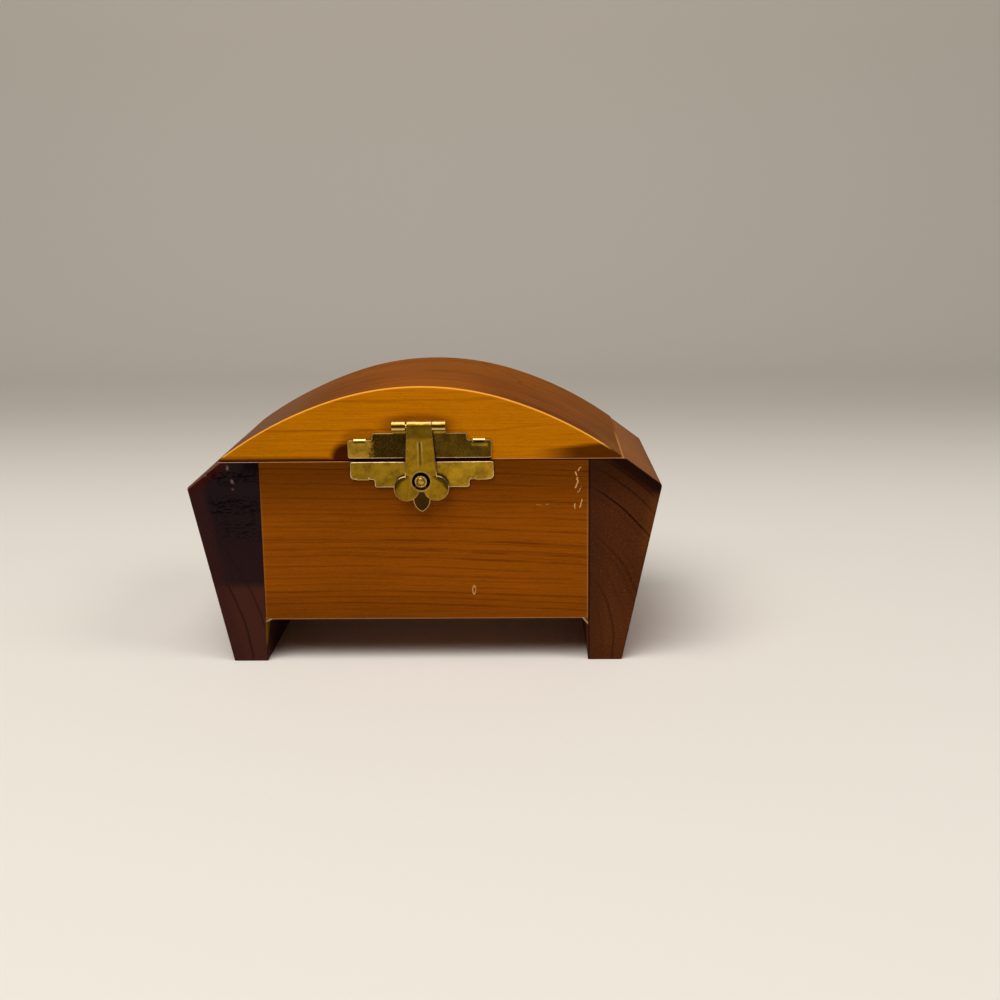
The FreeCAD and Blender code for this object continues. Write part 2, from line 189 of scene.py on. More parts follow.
class Tone:
    """A value or a colour that runs between the nodes of a finish. Sums on tones add nodes."""

    def __init__(self, finish, socket):
        self.finish = finish
        self.socket = socket

    def maths(self, operation, *others):
        terms = dict(enumerate((self, *others)))
        return self.finish.node("ShaderNodeMath", {"operation": operation}, terms)

    def __add__(self, other):
        return self.maths("ADD", other)

    __radd__ = __add__

    def __sub__(self, other):
        return self.maths("SUBTRACT", other)

    def __rsub__(self, other):
        return self * -1 + other

    def __mul__(self, other):
        return self.maths("MULTIPLY", other)

    __rmul__ = __mul__

    def __truediv__(self, other):
        return self.maths("DIVIDE", other)

    def __pow__(self, other):
        return self.maths("POWER", other)

    def __abs__(self):
        return self.maths("ABSOLUTE")

    def __or__(self, other):
        """The larger of two tones."""
        return self.maths("MAXIMUM", other)

    def hypot(self, other):
        return (self * self + other * other) ** 0.5

    def band(self, low, high):
        """0 below low, 1 above high, and smooth between them. With low above high it falls."""
        sockets = {"Value": self, "From Min": low, "From Max": high}
        return self.finish.node("ShaderNodeMapRange", {"interpolation_type": "SMOOTHSTEP"}, sockets)


class Finish:
    """A material while it is being mixed: its colour, its roughness and its relief."""

    def __init__(self, name):
        self.material = bpy.data.materials.new(name)
        self.material.use_nodes = True
        self.tree = self.material.node_tree
        self.surface = self.tree.nodes["Principled BSDF"]
        place = self.scale(self.node("ShaderNodeTexCoord", {}, {}, "Object"), 1 / MM)
        self.x, self.y, self.z = (self.node("ShaderNodeSeparateXYZ", {}, {0: place}, axis) for axis in "XYZ")
        self.behind = self.y + HALF_DEPTH

    def node(self, kind, settings, sockets, output=0):
        """One node: its settings first, then the values or links of its sockets."""
        node = self.tree.nodes.new(kind)
        for name, value in settings.items():
            setattr(node, name, value)
        for name, value in sockets.items():
            self.feed(node.inputs[name], value)
        return Tone(self, node.outputs[output])

    def feed(self, socket, value):
        if isinstance(value, Tone):
            self.tree.links.new(value.socket, socket)
        else:
            socket.default_value = value

    def set(self, name, value):
        self.surface.inputs[name].default_value = value

    def noise(self, x, y, z, detail=2.0, roughness=0.5):
        """Noise between 0 and 1, read at a point."""
        spot = self.node("ShaderNodeCombineXYZ", {}, {"X": x, "Y": y, "Z": z})
        sockets = {"Vector": spot, "Scale": 1.0, "Detail": detail, "Roughness": roughness}
        return self.node("ShaderNodeTexNoise", {}, sockets)

    def blend(self, share, *colours):
        """The first colour where share is 0, the second where it is 1. Plain ones are paints."""
        first, second = (colour if isinstance(colour, Tone) else paint(*colour) for colour in colours)
        return self.node("ShaderNodeMix", {"data_type": "RGBA"}, {0: share, 6: first, 7: second}, 2)

    def tint(self, share, *colour):
        self.colour = self.blend(share, self.colour, colour)

    def dim(self, level):
        self.colour = self.scale(self.colour, level)

    def scale(self, tone, level):
        return self.node("ShaderNodeVectorMath", {"operation": "SCALE"}, {0: tone, "Scale": level})

    def oval(self, x, z, half_width, half_height):
        """How far out from the middle of an oval on the front a point is. The oval's outline is at 1."""
        return ((self.x - x) / half_width).hypot((self.z - z) / half_height)

    def strokes(self, *lines):
        """Ragged marks on the front or the back. Each line has the x and z of both ends, and a width."""
        marks = 0.0
        ragged = self.noise(self.x * 1.7, 0.0, self.z * 1.7) - 0.5
        for x, z, end_x, end_z, width in lines:
            run = Vector((end_x - x, end_z - z))
            length = run.length
            run.normalize()
            east = self.x - x
            north = self.z - z
            aside = abs(east * run.y - north * run.x + ragged * width * 3)
            along = east * run.x + north * run.y
            ends = along.band(-width, width) * along.band(length + width, length - width)
            marks = aside.band(width, width * 0.4) * ends | marks
        return marks

    def complete(self, relief):
        """Joins colour, roughness and relief, in millimetres, to the surface."""
        sockets = {"Strength": 1.0, "Distance": relief * MM, "Height": self.height}
        self.feed(self.surface.inputs["Normal"], self.node("ShaderNodeBump", {}, sockets))
        self.feed(self.surface.inputs["Base Color"], self.colour)
        self.feed(self.surface.inputs["Roughness"], self.roughness)
        return self.material


def paint(red, green, blue):
    """A colour as a paint chart gives it, 0 to 255, in the linear numbers that a shader takes."""
    linear = []
    for part in (red, green, blue):
        share = part / 255
        linear.append(share / 12.92 if share <= 0.04045 else ((share + 0.055) / 1.055) ** 2.4)
    return (*linear, 1.0)


def cedar(name, grain, pith, ring_width, early, late, wander, bow=0.0):
    """Varnished cedar: rings round a pith along X or Y, each with a dark late edge, fibres and pores."""
    wood = Finish(name)
    along, across = (wood.x, wood.y) if grain == "X" else (wood.y, wood.x)
    slow = wood.noise(along * 0.018, across * 0.08, wood.z * 0.08)
    quick = wood.noise(along * 0.07, across * 0.5, wood.z * 0.5)
    past_start = (along - BOW_START) | 0.0
    offset = (slow - 0.5) * wander + (quick - 0.5) * (0.12 * wander)
    offset = offset + past_start * past_start * (bow / 1000)
    wood.radius = (across - pith[0]).hypot(wood.z - pith[1]) + offset
    rings = wood.radius / ring_width
    number = rings.maths("FLOOR")
    share = rings.maths("FRACT")
    chance = wood.node("ShaderNodeTexWhiteNoise", {"noise_dimensions": "1D"}, {"W": number})
    fading = wood.noise(along * 0.05, number * 3.7, 0.0)
    strength = (0.15 + chance * chance * 0.85) * fading.band(0.25, 0.55)
    wood.late = share.band(0.62, 0.88) * share.band(1.0, 0.94) * strength
    wood.fibres = wood.noise(along * 0.07, across * 3.5, wood.z * 3.5, 4.0, 0.62)
    pores = wood.noise(along * 0.9, across * 5.0, wood.z * 5.0, 2.0, 0.7)
    wood.pores = pores.band(0.5, 0.72)
    wood.cloud = wood.noise(along * 0.03, across * 0.06, wood.z * 0.06)
    wood.drift = wood.cloud - 0.5
    wood.fray = wood.fibres - 0.5
    wood.grit = wood.noise(along * 1.6, across * 2.6, wood.z * 2.6, 3.0, 0.7)
    wood.colour = wood.blend(wood.late, early, late)
    level = 0.5 + wood.fibres * 0.7 + wood.drift * 0.3 - wood.pores * 0.14 + wood.grit * 0.28
    wood.dim(level)
    wood.roughness = 0.36 + wood.fibres * 0.16 + wood.pores * 0.15
    wood.height = wood.fibres * 0.5 - wood.late * 0.35 - wood.pores * 0.6
    wood.set("Specular IOR Level", 0.015)
    return wood


def growth_lines(wood, *lines):
    """Rings that stand out from the rest, each by its distance from the pith, width and strength."""
    dark = 0.0
    for distance, width, strength in lines:
        line = abs(wood.radius - distance).band(width, width * 0.3) * strength
        dark = line | dark
    return dark


def model_end_block(name, end):
    """The block at the left (end -1) or right end, sawn, eased and grooved."""
    corners = sorted((end * INNER_HALF, end * FLARE_HALF))
    block = start_block(name, (corners[0], -HALF_DEPTH, 0), (corners[1], HALF_DEPTH, SEAM_HEIGHT))
    saw((end * FOOT_HALF, 0, 0), (end * FLARE_HEIGHT, 0, FOOT_HALF - FLARE_HALF))
    shoulder_rise = SEAM_HEIGHT - FLARE_HEIGHT
    shoulder_run = FLARE_HALF - abs(SEAM_ASIDE + end * SEAM_HALF)
    saw((end * FLARE_HALF, 0, FLARE_HEIGHT), (end * shoulder_rise, 0, shoulder_run))

    def shows(place, edge):
        off_the_joint = abs(place.x) > INNER_HALF + EASED_EDGE
        return off_the_joint and EASED_EDGE < place.z < SEAM_HEIGHT - EASED_EDGE
    ease(EASED_EDGE, shows)
    close_piece(block, SOFT_EDGE)
    for side in (-1, 1):
        middle = side * (HALF_DEPTH - PANEL_THICKNESS / 2)
        reach = sorted((end * (INNER_HALF - OVERCUT), end * (INNER_HALF + TONGUE_LENGTH)))
        low = (reach[0], middle - TONGUE_THICKNESS / 2, PANEL_RISE)
        high = (reach[1], middle + TONGUE_THICKNESS / 2, SEAM_HEIGHT + OVERCUT)
        carve(block, start_block("groove", low, high), "DIFFERENCE")
    bpy.ops.object.mode_set(mode="EDIT")
    pick_all()
    bpy.ops.mesh.fill_holes(sides=4)
    bpy.ops.mesh.normals_make_consistent(inside=False)
    bpy.ops.object.mode_set(mode="OBJECT")
    even_shading(block)
    return block


def end_faces(wood):
    """Where the sawn ends of the grain drink in the varnish and go dark: the front and the back."""
    return (HALF_DEPTH - abs(wood.y) + wood.fray * 0.3).band(1.1, 0.6)


wood = cedar("dark_heart_cedar", "Y", (-95.5, -5.0), 4.5, (112, 64, 44), (70, 36, 22), 1.5)
x, z, behind = wood.x, wood.z, wood.behind
lines = growth_lines(wood, (53.6, 0.4, 0.7), (58.0, 0.4, 0.55)) | wood.late * 0.3
long_grain = wood.colour
wood.colour = wood.blend(lines, (70, 37, 28), (40, 19, 15))
# Dark heartwood over the upper part, with a painted bluish sheen of reflected light in its colour.
height_now = z + wood.drift * 5 + wood.fray * 3
dark_top_and_painted_light = height_now.band(17.4, 20.0) * 0.84 + z.band(22.0, 42.0) * 0.13
wood.tint(dark_top_and_painted_light, 33, 22, 24)
red_edge = (x + z * 0.19 + wood.drift * 3).band(-42.8, -45.6)
wood.tint(red_edge * 0.6, 58, 28, 25)
up_the_shoulder = z * 0.785 - x * 0.62
red_corner = up_the_shoulder.band(65.0, 67.4) * x.band(-45.4, -47.0)
wood.tint(red_corner * 0.7, 60, 16, 10)
teeth = wood.noise(x * 0.8, 0.0, z * 2.4, 3.0, 0.6)
saw_rows = abs(z - 38.2).band(3.4, 1.2) | abs(z - 45.4).band(2.2, 0.8)
saw_rows = saw_rows | abs(z - 32.5).band(4.5, 1.0) * 0.6
saw_marks = teeth.band(0.5, 0.6) * saw_rows * (x + z * 0.2).band(-44.4, -41.0)
saw_marks = saw_marks | wood.strokes(
    (-49.4, 45.1, -47.6, 45.3, 0.28), (-43.9, 45.4, -39.6, 45.7, 0.36), (-48.4, 43.6, -44.7, 43.4, 0.12),
    (-51.2, 39.2, -49.4, 39.3, 0.17), (-48.9, 38.9, -46.9, 39.4, 0.24), (-46.7, 39.5, -43.2, 39.9, 0.22),
    (-48.8, 38.1, -46.9, 38.4, 0.26), (-43.4, 38.0, -40.6, 38.5, 0.24), (-50.4, 36.8, -48.4, 37.1, 0.22),
    (-42.6, 33.8, -40.9, 34.1, 0.26), (-43.6, 31.8, -41.6, 32.2, 0.17))
wood.tint(saw_marks * 0.85, 5, 2, 3)
black_corner = (x - wood.cloud * 4).band(-45.5, -42.5) * z.band(45.6, 47.6)
wood.tint(black_corner * 0.8, 8, 4, 6)
specks = wood.noise(x * 2.2, 0.0, z * 2.2, 2.0, 0.7)
wood.dim(0.65 + specks * 0.7)
# Pale scuffs near the top that dip the varnish, painted light as the glints they catch.
scuffs_and_glints = wood.strokes(
    (-46.2, 48.1, -46.0, 47.2, 0.4), (-45.3, 44.8, -44.9, 43.9, 0.4), (-45.1, 42.6, -45.0, 42.4, 0.35),
    (-51.6, 46.0, -51.2, 45.7, 0.35))
wood.tint(scuffs_and_glints * 0.5, 150, 116, 110)
# A lighter line on the shoulder's eased edge: scuffed wear, and a painted highlight.
shoulder_wear_and_highlight = up_the_shoulder.band(67.8, 68.0) * behind.band(0.8, 0.4)
wood.tint(shoulder_wear_and_highlight * 0.75, 118, 78, 62)
wood.colour = wood.blend(end_faces(wood), long_grain, wood.colour)
# Painted shade, near black, on the inner face of the leg under the panel; a sapwood strip near the front
# keeps a golden colour.
shaded_inner_leg = x.band(-38.9, -38.75) * z.band(11.5, 10.5)
wood.tint(shaded_inner_leg * 0.85, 50, 24, 14)
sap_strip = (behind - z * 1.1).band(-3.5, -5.5) * shaded_inner_leg
wood.tint(sap_strip * 0.9, 134, 92, 26)
# A painted highlight on the eased top edge under the seam.
top_edge_highlight = z.band(48.84, 48.9) * behind.band(0.8, 0.4)
wood.tint(top_edge_highlight * 0.85, 190, 146, 126)
wood.height = wood.height - saw_marks * 1.4 - scuffs_and_glints * 0.6

left_block = model_end_block("left_block", -1)
bpy.ops.object.mode_set(mode="EDIT")
for half, height, out, up in ((FLARE_HALF, FLARE_HEIGHT, 0, 1), (SEAM_HALF, SEAM_HEIGHT, -1, 0)):
    def at_back_corner(place, vert):
        return place.y > 0 and place.x < CORNER_REACH - half and place.z > height - CORNER_REACH
    pick("verts", at_back_corner)
    move(out * BACK_SHOULDER_OUT, 0, up * BACK_SHOULDER_OUT)
bpy.ops.object.mode_set(mode="OBJECT")
even_shading(left_block)
coat(left_block, wood.complete(END_GRAIN_RELIEF))
settle(left_block, "box", "cedar_end_left", "left_end_block")

wood = cedar("ringed_heart_cedar", "Y", (18.4, 5.0), 3.0, (140, 82, 36), (104, 56, 22), 1.0)
x, z = wood.x, wood.z
lines = growth_lines(
    wood, (26.4, 0.32, 0.55), (34.0, 0.36, 0.45), (43.0, 0.36, 0.95), (47.4, 0.32, 0.65),
    (50.0, 0.32, 0.7), (52.4, 0.28, 0.5))
lines = lines * (0.35 + x.band(39.5, 44.0) * 0.65) * (0.4 + wood.grit * 1.1)
lines = lines | wood.late * 0.3
long_grain = wood.colour
wood.colour = wood.blend(lines, (84, 43, 18), (34, 13, 6))
specks = wood.noise(x * 2.0, 0.0, z * 2.0, 3.0, 0.7)
wood.dim(0.28 + specks * 1.34 + wood.drift * 0.5)
pale_specks = specks.band(0.62, 0.72)
wood.tint(pale_specks * 0.4, 140, 96, 70)
up_the_shoulder = z * 0.8 + x * 0.6 + (specks - 0.5) * 3
# Painted shadow, near black, under the shoulder's edge in the upper outer corner of the front.
dark_top_and_painted_light = up_the_shoulder.band(64.2, 66.2) * x.band(41.5, 45.0)
wood.tint(dark_top_and_painted_light * 0.85, 12, 6, 10)
upper = (z + wood.drift * 6).band(36.0, 47.5) * 0.62
wood.tint(upper, 34, 12, 2)
inner_side = (x + wood.drift * 4).band(45.0, 40.0) * 0.3
wood.tint(inner_side, 50, 27, 20)
joint = x.band(39.3, 38.95) * 0.6
wood.tint(joint, 24, 12, 10)
pale_edge = (x - z * 0.2126).band(43.6, 46.4) * z.band(42.0, 39.5) * wood.cloud.band(0.4, 0.6)
pale_edge = pale_edge * z.band(18.0, 28.0) * (0.4 + specks * 0.8)
wood.tint(pale_edge * 0.3, 124, 72, 18)
wood.colour = wood.blend(end_faces(wood), long_grain, wood.colour)

right_block = model_end_block("right_block", 1)
coat(right_block, wood.complete(END_GRAIN_RELIEF))
settle(right_block, "box", "cedar_end_right", "right_end_block")

# Front and back panels
# Two boards of cedar stand between the end blocks, flush with them, with their tongues in the grooves.
# Their grain runs along the chest. A groove near the lower edge inside holds the bottom board.
BOTTOM_LOW = 12.9
BOTTOM_THICKNESS = 4.0
BOTTOM_GROOVE_DEPTH = 3.0
PANEL_EASED_EDGE = 0.3
PANEL_SOFT_EDGE = 0.12
BOARD_RELIEF = 0.05
NEAR = 0.1
FACING = 0.9


def extrude(x, y, z):
    """Draws the selected faces out by a distance in millimetres."""
    bpy.ops.mesh.extrude_region_move(TRANSFORM_OT_translate={"value": (x * MM, y * MM, z * MM)})


def model_panel(name, side):
    """The panel at the front (side -1) or back, with a tongue at each end and its groove inside."""
    faces = sorted((side * HALF_DEPTH, side * (HALF_DEPTH - PANEL_THICKNESS)))
    middle = (faces[0] + faces[1]) / 2
    panel = start_block(name, (-INNER_HALF, faces[0], PANEL_RISE), (INNER_HALF, faces[1], SEAM_HEIGHT))
    ease(PANEL_EASED_EDGE, lambda place, edge: abs(place.y) > HALF_DEPTH - NEAR and abs(place.x) < 1)
    for edge_of_tongue in (middle - TONGUE_THICKNESS / 2, middle + TONGUE_THICKNESS / 2):
        saw((0, edge_of_tongue, 0), (0, 1, 0), off=False)
    for end in (-1, 1):
        pick("faces", lambda place, face: face.normal.x * end > FACING and abs(place.y - middle) < 1)
        extrude(end * TONGUE_LENGTH, 0, 0)
    close_piece(panel, PANEL_SOFT_EDGE)
    groove = sorted((side * (HALF_DEPTH - PANEL_THICKNESS - OVERCUT),
                     side * (HALF_DEPTH - PANEL_THICKNESS + BOTTOM_GROOVE_DEPTH)))
    low = (-INNER_HALF, groove[0], BOTTOM_LOW)
    high = (INNER_HALF, groove[1], BOTTOM_LOW + BOTTOM_THICKNESS)
    carve(panel, start_block("groove", low, high), "DIFFERENCE")
    even_shading(panel)
    return panel


wood = cedar("orange_cedar", "X", (34.0, -46.0), 1.05, (147, 75, 4), (114, 54, 3), 2.2, 0.45)
x, z, behind = wood.x, wood.z, wood.behind
lines = growth_lines(
    wood, (108.2, 0.25, 0.4), (105.1, 0.3, 0.55), (102.6, 0.28, 0.6), (100.1, 0.36, 0.85),
    (98.2, 0.3, 0.75), (97.0, 0.32, 0.75), (94.0, 0.3, 0.5), (91.2, 0.3, 0.35))
breaks = wood.noise(x * 0.09, 0.0, z * 0.5)
lines = lines * (0.35 + breaks.band(0.35, 0.6) * 0.65) * (0.6 + x.band(-24.0, 6.0) * 0.4)
wood.tint(lines * 0.8, 92, 40, 2)
shade = (z + wood.drift * 8).band(32.0, 48.0) * 0.47
shade = shade + z.band(20.0, 12.0) * 0.22 + x.band(24.0, -16.0) * 0.08
wood.dim(1 - shade)
scratches = wood.strokes(
    (36.9, 47.4, 36.2, 46.4, 0.2), (35.6, 46.2, 36.2, 43.9, 0.26), (36.2, 43.9, 35.6, 42.3, 0.24),
    (36.0, 41.4, 36.5, 41.3, 0.2), (36.5, 41.6, 37.1, 43.3, 0.14), (37.2, 39.6, 36.6, 37.6, 0.2),
    (35.4, 38.6, 35.5, 37.3, 0.2))
gaps = wood.noise(x * 1.1, 0.0, z * 1.1)
scratches = scratches * gaps.band(0.36, 0.46)
dashes = wood.strokes((25.8, 38.3, 30.6, 38.5, 0.16)) * gaps.band(0.5, 0.6)
loop_mark = abs(wood.oval(11.5, 17.6, 0.38, 0.95) - 1).band(0.4, 0.15) * (0.5 + gaps.band(0.4, 0.6) * 0.5)
marks = (scratches * 0.75 + dashes * 0.4 + loop_mark * 0.6) * behind.band(1.0, 0.5)
wood.tint(marks, 226, 178, 112)
# Painted highlights on the eased edges: the top edge on the left, the side edges and the foot.
top_edge_highlight = z.band(48.84, 48.9) * x.band(-15.0, -19.0)
side_edge_highlight = abs(x).band(38.2, 38.55) * z.band(47.0, 34.0)
side_edge_highlight = side_edge_highlight * (0.1 + x.band(0.0, 10.0) * 0.1)
foot_edge_highlight = z.band(10.72, 10.66) * 0.45
edge_highlights = (top_edge_highlight * 0.85 | side_edge_highlight | foot_edge_highlight) * behind.band(1.0, 0.5)
wood.tint(edge_highlights, 214, 150, 96)
wood.height = wood.height - scratches * 0.8

front_panel = model_panel("front_panel_board", -1)
coat(front_panel, wood.complete(BOARD_RELIEF))
settle(front_panel, "box", "cedar_panel", "front_panel")

wood = cedar("orange_cedar_back", "X", (-70.0, -30.0), 1.2, (158, 84, 14), (100, 48, 8), 3.0)
back_panel = model_panel("back_panel_board", 1)
coat(back_panel, wood.complete(BOARD_RELIEF))
settle(back_panel, "box", "cedar_panel", "back_panel")

# Glue beads
# A little glue ran out of the joints of the front panel and set hard in the corners below it.
# Both are amber, with a painted highlight along the lower edge.
GLUE_BEADS = (("left_glue_bead", -1, 1.5, 0.7), ("right_glue_bead", 1, 1.4, 1.6))
GLUE_SET_BACK = 0.05
GLUE_DEPTH = 2.5
GLUE_IN_JOINT = 0.3
GLUE_SOFT_EDGE = 0.1
GLUE_RELIEF = 0.02
for name, end, width, drop in GLUE_BEADS:
    reach = sorted((end * (INNER_HALF - width), end * INNER_HALF))
    bead = start_block(name, (reach[0], GLUE_SET_BACK - HALF_DEPTH, PANEL_RISE - drop),
                       (reach[1], GLUE_DEPTH - HALF_DEPTH, PANEL_RISE + GLUE_IN_JOINT))
    saw((end * (INNER_HALF - width), 0, PANEL_RISE), (-end * drop, 0, -width))
    close_piece(bead, GLUE_SOFT_EDGE)
    glue = Finish(name)
    grain = glue.noise(glue.x * 3, glue.y * 3, glue.z * 3, 3.0)
    above_edge = (glue.x * end - INNER_HALF + width) * drop + (glue.z - PANEL_RISE) * width
    above_edge = above_edge / math.hypot(drop, width)
    # Painted highlight: pale along the lower edge, amber above it.
    glue.colour = glue.blend(above_edge.band(0.45, 0.2), (92, 60, 24), (190, 146, 96))
    glue.dim(0.7 + grain * 0.6)
    glue.roughness = 0.3 + grain * 0.1
    glue.height = grain
    glue.set("Specular IOR Level", 0.1)
    coat(bead, glue.complete(GLUE_RELIEF))
    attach(bead, "box")

# Bottom board
# A thin board of plain cedar slides into the grooves of both panels before the ends are glued on.
# It is left unvarnished, and it shows only from below and with the lid open.
BOTTOM_PLAY = 0.05
BOTTOM_RELIEF = 0.06
board_reach = HALF_DEPTH - PANEL_THICKNESS + BOTTOM_GROOVE_DEPTH - BOTTOM_PLAY
bottom_low = (-INNER_HALF, -board_reach, BOTTOM_LOW)
bottom = start_block("bottom_plank", bottom_low, (INNER_HALF, board_reach, BOTTOM_LOW + BOTTOM_THICKNESS))
close_piece(bottom, SOFT_EDGE)
wood = cedar("plain_cedar", "X", (8.0, -60.0), 1.6, (158, 98, 56), (120, 66, 34), 4.0)
coat(bottom, wood.complete(BOTTOM_RELIEF))
settle(bottom, "box", "cedar_bottom", "bottom_board")

# Lid
# One thick board of cedar, its top planed to a dome that runs out in flatter flanks.
# The front edge of the board is pale sapwood, and the top is red heartwood under a satin varnish.
LID_LOW = 49.25
LID_TOP = 66.48
LID_BACK_DROP = 0.33
LID_BACK_SPREAD = ((-1, 32.0, 0.7), (1, 8.0, 0.6))
LID_HALF = 47.75
LID_ASIDE = -0.65
CROWN_RADIUS = 67.5
CROWN_SLOPE = math.radians(17.5)
CROWN_STEPS = 20
FLANK_STEPS = 10
LID_SOFT_EDGE = 0.1
TOUCH = 0.01
crown_end = CROWN_RADIUS * math.sin(CROWN_SLOPE)
crown_low = LID_TOP - CROWN_RADIUS * (1 - math.cos(CROWN_SLOPE))
run = LID_HALF - crown_end
fall = crown_low - LID_LOW
inward = fall * math.cos(CROWN_SLOPE) - run * math.sin(CROWN_SLOPE)
flank_radius = (run * run + fall * fall) / (2 * inward)
flank_slope = 2 * (math.atan2(fall, run) - CROWN_SLOPE)
flank_x = crown_end - flank_radius * math.sin(CROWN_SLOPE)
flank_z = crown_low - flank_radius * math.cos(CROWN_SLOPE)


def widen(share, x=0):
    """Scales the width of what is selected about a place in millimetres."""
    bpy.ops.transform.resize(value=(share, 1, 1), center_override=(x * MM, 0, 0))


def carry(x, y, z):
    """Moves the open piece as a whole, in millimetres."""
    pick_all()
    move(x, y, z)


clear_bench()
bpy.ops.mesh.primitive_plane_add(size=1, location=(0, 0, LID_LOW * MM))
lid = name_and_open("lid_board", (2 * LID_HALF * MM, 2 * HALF_DEPTH * MM, 1))
pick("edges", lambda place, edge: place.x < 1 - LID_HALF)
arcs = ((-flank_x, flank_z, flank_slope, FLANK_STEPS),
        (0, LID_TOP - CROWN_RADIUS, 2 * CROWN_SLOPE, CROWN_STEPS),
        (flank_x, flank_z, flank_slope, FLANK_STEPS))
for x, z, turn, steps in arcs:
    bpy.ops.mesh.spin(steps=steps, angle=-turn, center=(x * MM, 0, z * MM), axis=(0, 1, 0))
pick_all()
bpy.ops.mesh.remove_doubles(threshold=TOUCH * MM)
for side in (-1, 1):
    pick("edges", lambda place, edge: place.y * side > HALF_DEPTH - NEAR)
    bpy.ops.mesh.edge_face_add()
pick_all()
bpy.ops.mesh.normals_make_consistent(inside=False)
ease(EASED_EDGE, lambda place, edge: abs(place.y) > HALF_DEPTH - NEAR and place.z > LID_LOW + NEAR)
pick("verts", lambda place, vert: place.y > 0)
back_height = 1 - LID_BACK_DROP / (LID_TOP - LID_LOW)
bpy.ops.transform.resize(value=(1, 1, back_height), center_override=(0, 0, LID_LOW * MM))
for end, start, spread in LID_BACK_SPREAD:
    pick("verts", lambda place, vert: place.y > 0 and place.x * end > start)
    widen(1 + spread / (LID_HALF - start), end * start)
carry(LID_ASIDE, 0, 0)
close_piece(lid, LID_SOFT_EDGE)

wood = cedar("domed_cedar", "X", (26.0, -18.0), 1.5, (148, 78, 16), (96, 46, 8), 5.0)
x, z, behind = wood.x, wood.z, wood.behind
# Towards both ends the top turns a duller brown: painted sheen where the flanks meet the light at a grazing
# angle.
from_middle = abs(x - 4).band(14.0, 44.0)
wood.tint(from_middle * 0.55, 120, 74, 36)
# The left tip is greyer still: more painted sheen.
left_tip_sheen = x.band(-24.0, -42.0)
wood.tint(left_tip_sheen * 0.6, 126, 96, 74)
far_side = (behind + wood.drift * 16).band(22.0, 44.0)
wood.tint(far_side * 0.35, 152, 84, 14)
near_rim = (behind + wood.fray * 9).band(12.0, 3.0) * x.band(6.0, 26.0)
wood.tint(near_rim * 0.5, 100, 47, 14)
glow = abs(x - 1).band(17.0, 6.0) * (behind + wood.fray * 8).band(30.0, 4.0)
wood.tint(glow * 0.4, 172, 92, 12)
streaks = wood.noise(x * 0.025, wood.y * 0.3, z * 0.1, 3.0, 0.6)
worn_band = abs(behind - 19 + wood.fray * 12).band(15.0, 5.0)
worn_ends = abs(abs(x - 1) - 21).band(14.0, 4.0)
wood.dim(0.5 + streaks * 0.74 - x.band(-8.0, -28.0) * 0.07 - worn_band * worn_ends * 0.12)
wood.set("Specular IOR Level", 0.003)
sapwood = (behind + wood.fray * 0.5).band(1.2, 0.7)
heartwood = wood.colour
wood.colour = wood.blend(wood.late * 0.8, (196, 116, 3), (150, 78, 2))
sap_level = 0.66 + wood.fibres * 0.62 + wood.drift * 0.25 - wood.pores * 0.1
to_the_left = x.band(-10.0, -24.0) * 0.06 + x.band(-28.0, -40.0) * 0.07
wood.dim(sap_level - to_the_left + (wood.grit - 0.5) * 0.2)
wave = wood.fray * 1.4
heart_height = z - (x - 20) * 0.07 + wave
heart = heart_height.band(51.8, 50.8) * (x + wave * 4).band(24.0, 37.0)
smudge = (wood.oval(-17.9, 49.4, 3.6, 4.0) + wave * 0.1).band(1.3, 0.75)
# Painted shade along the lid's lower edge on the left.
low_edge_shade = (z + wave * 0.4).band(50.6, 49.5) * x.band(-10.0, -14.0) * 0.6
# A dark line along the lid's lower edge beside the clasp: dirt in the seam, and painted shade between the
# plates.
seam_dirt_and_shade = z.band(49.95, 49.7) * abs(x + 0.95).band(17.5, 16.5)
# A painted shadow line along the lid's lower edge, on the left.
left_seam_shadow = z.band(49.85, 49.6) * x.band(-8.0, -12.0)
# Stains, and the painted shade along the lower edge, in one dark brown.
stain_and_shade = heart * 0.88 | smudge * 0.97 | seam_dirt_and_shade | low_edge_shade | left_seam_shadow * 0.9
halo = (wood.oval(-0.95, 57.6, 9.0, 2.7) + wave * 0.1).band(1.2, 0.7)
# Painted shadow beside the plate's upper left corner.
corner = (wood.oval(-14.5, 54.6, 4.6, 2.4) + wave * 0.1).band(1.2, 0.6)
wood.tint(halo * 0.45 | corner * 0.4, 92, 42, 3)
wood.tint(stain_and_shade, 58, 14, 3)
# Worn sapwood on the eased front edge of the top, with a painted highlight where it faces up to the light.
rim_wear_and_highlight = behind.band(0.04, 0.16) * z.band(49.9, 50.4) * x.band(44.5, 41.5)
wood.tint(rim_wear_and_highlight * 0.84, 255, 172, 62)
# A painted highlight on the lid's lower front edge, on the right.
low_edge_highlight = z.band(49.5, 49.44) * x.band(15.5, 18.0)
wood.tint(low_edge_highlight * 0.7, 200, 132, 84)
wood.colour = wood.blend(sapwood, heartwood, wood.colour)
# A painted highlight along the lower edge of the lid's right end, near the front.
end_edge_highlight = z.band(49.8, 49.6) * x.band(46.0, 47.0) * behind.band(44.0, 20.0)
tip_wear = x.band(38.0, 44.5) * behind.band(18.0, 4.0) * (1 - sapwood) * wood.fibres.band(0.4, 0.6)
wood.tint(tip_wear * 0.5, 172, 112, 52)
wood.tint(end_edge_highlight * 0.75, 206, 142, 74)
coat(lid, wood.complete(BOARD_RELIEF))
settle(lid, "lid", "cedar_lid", "lid")

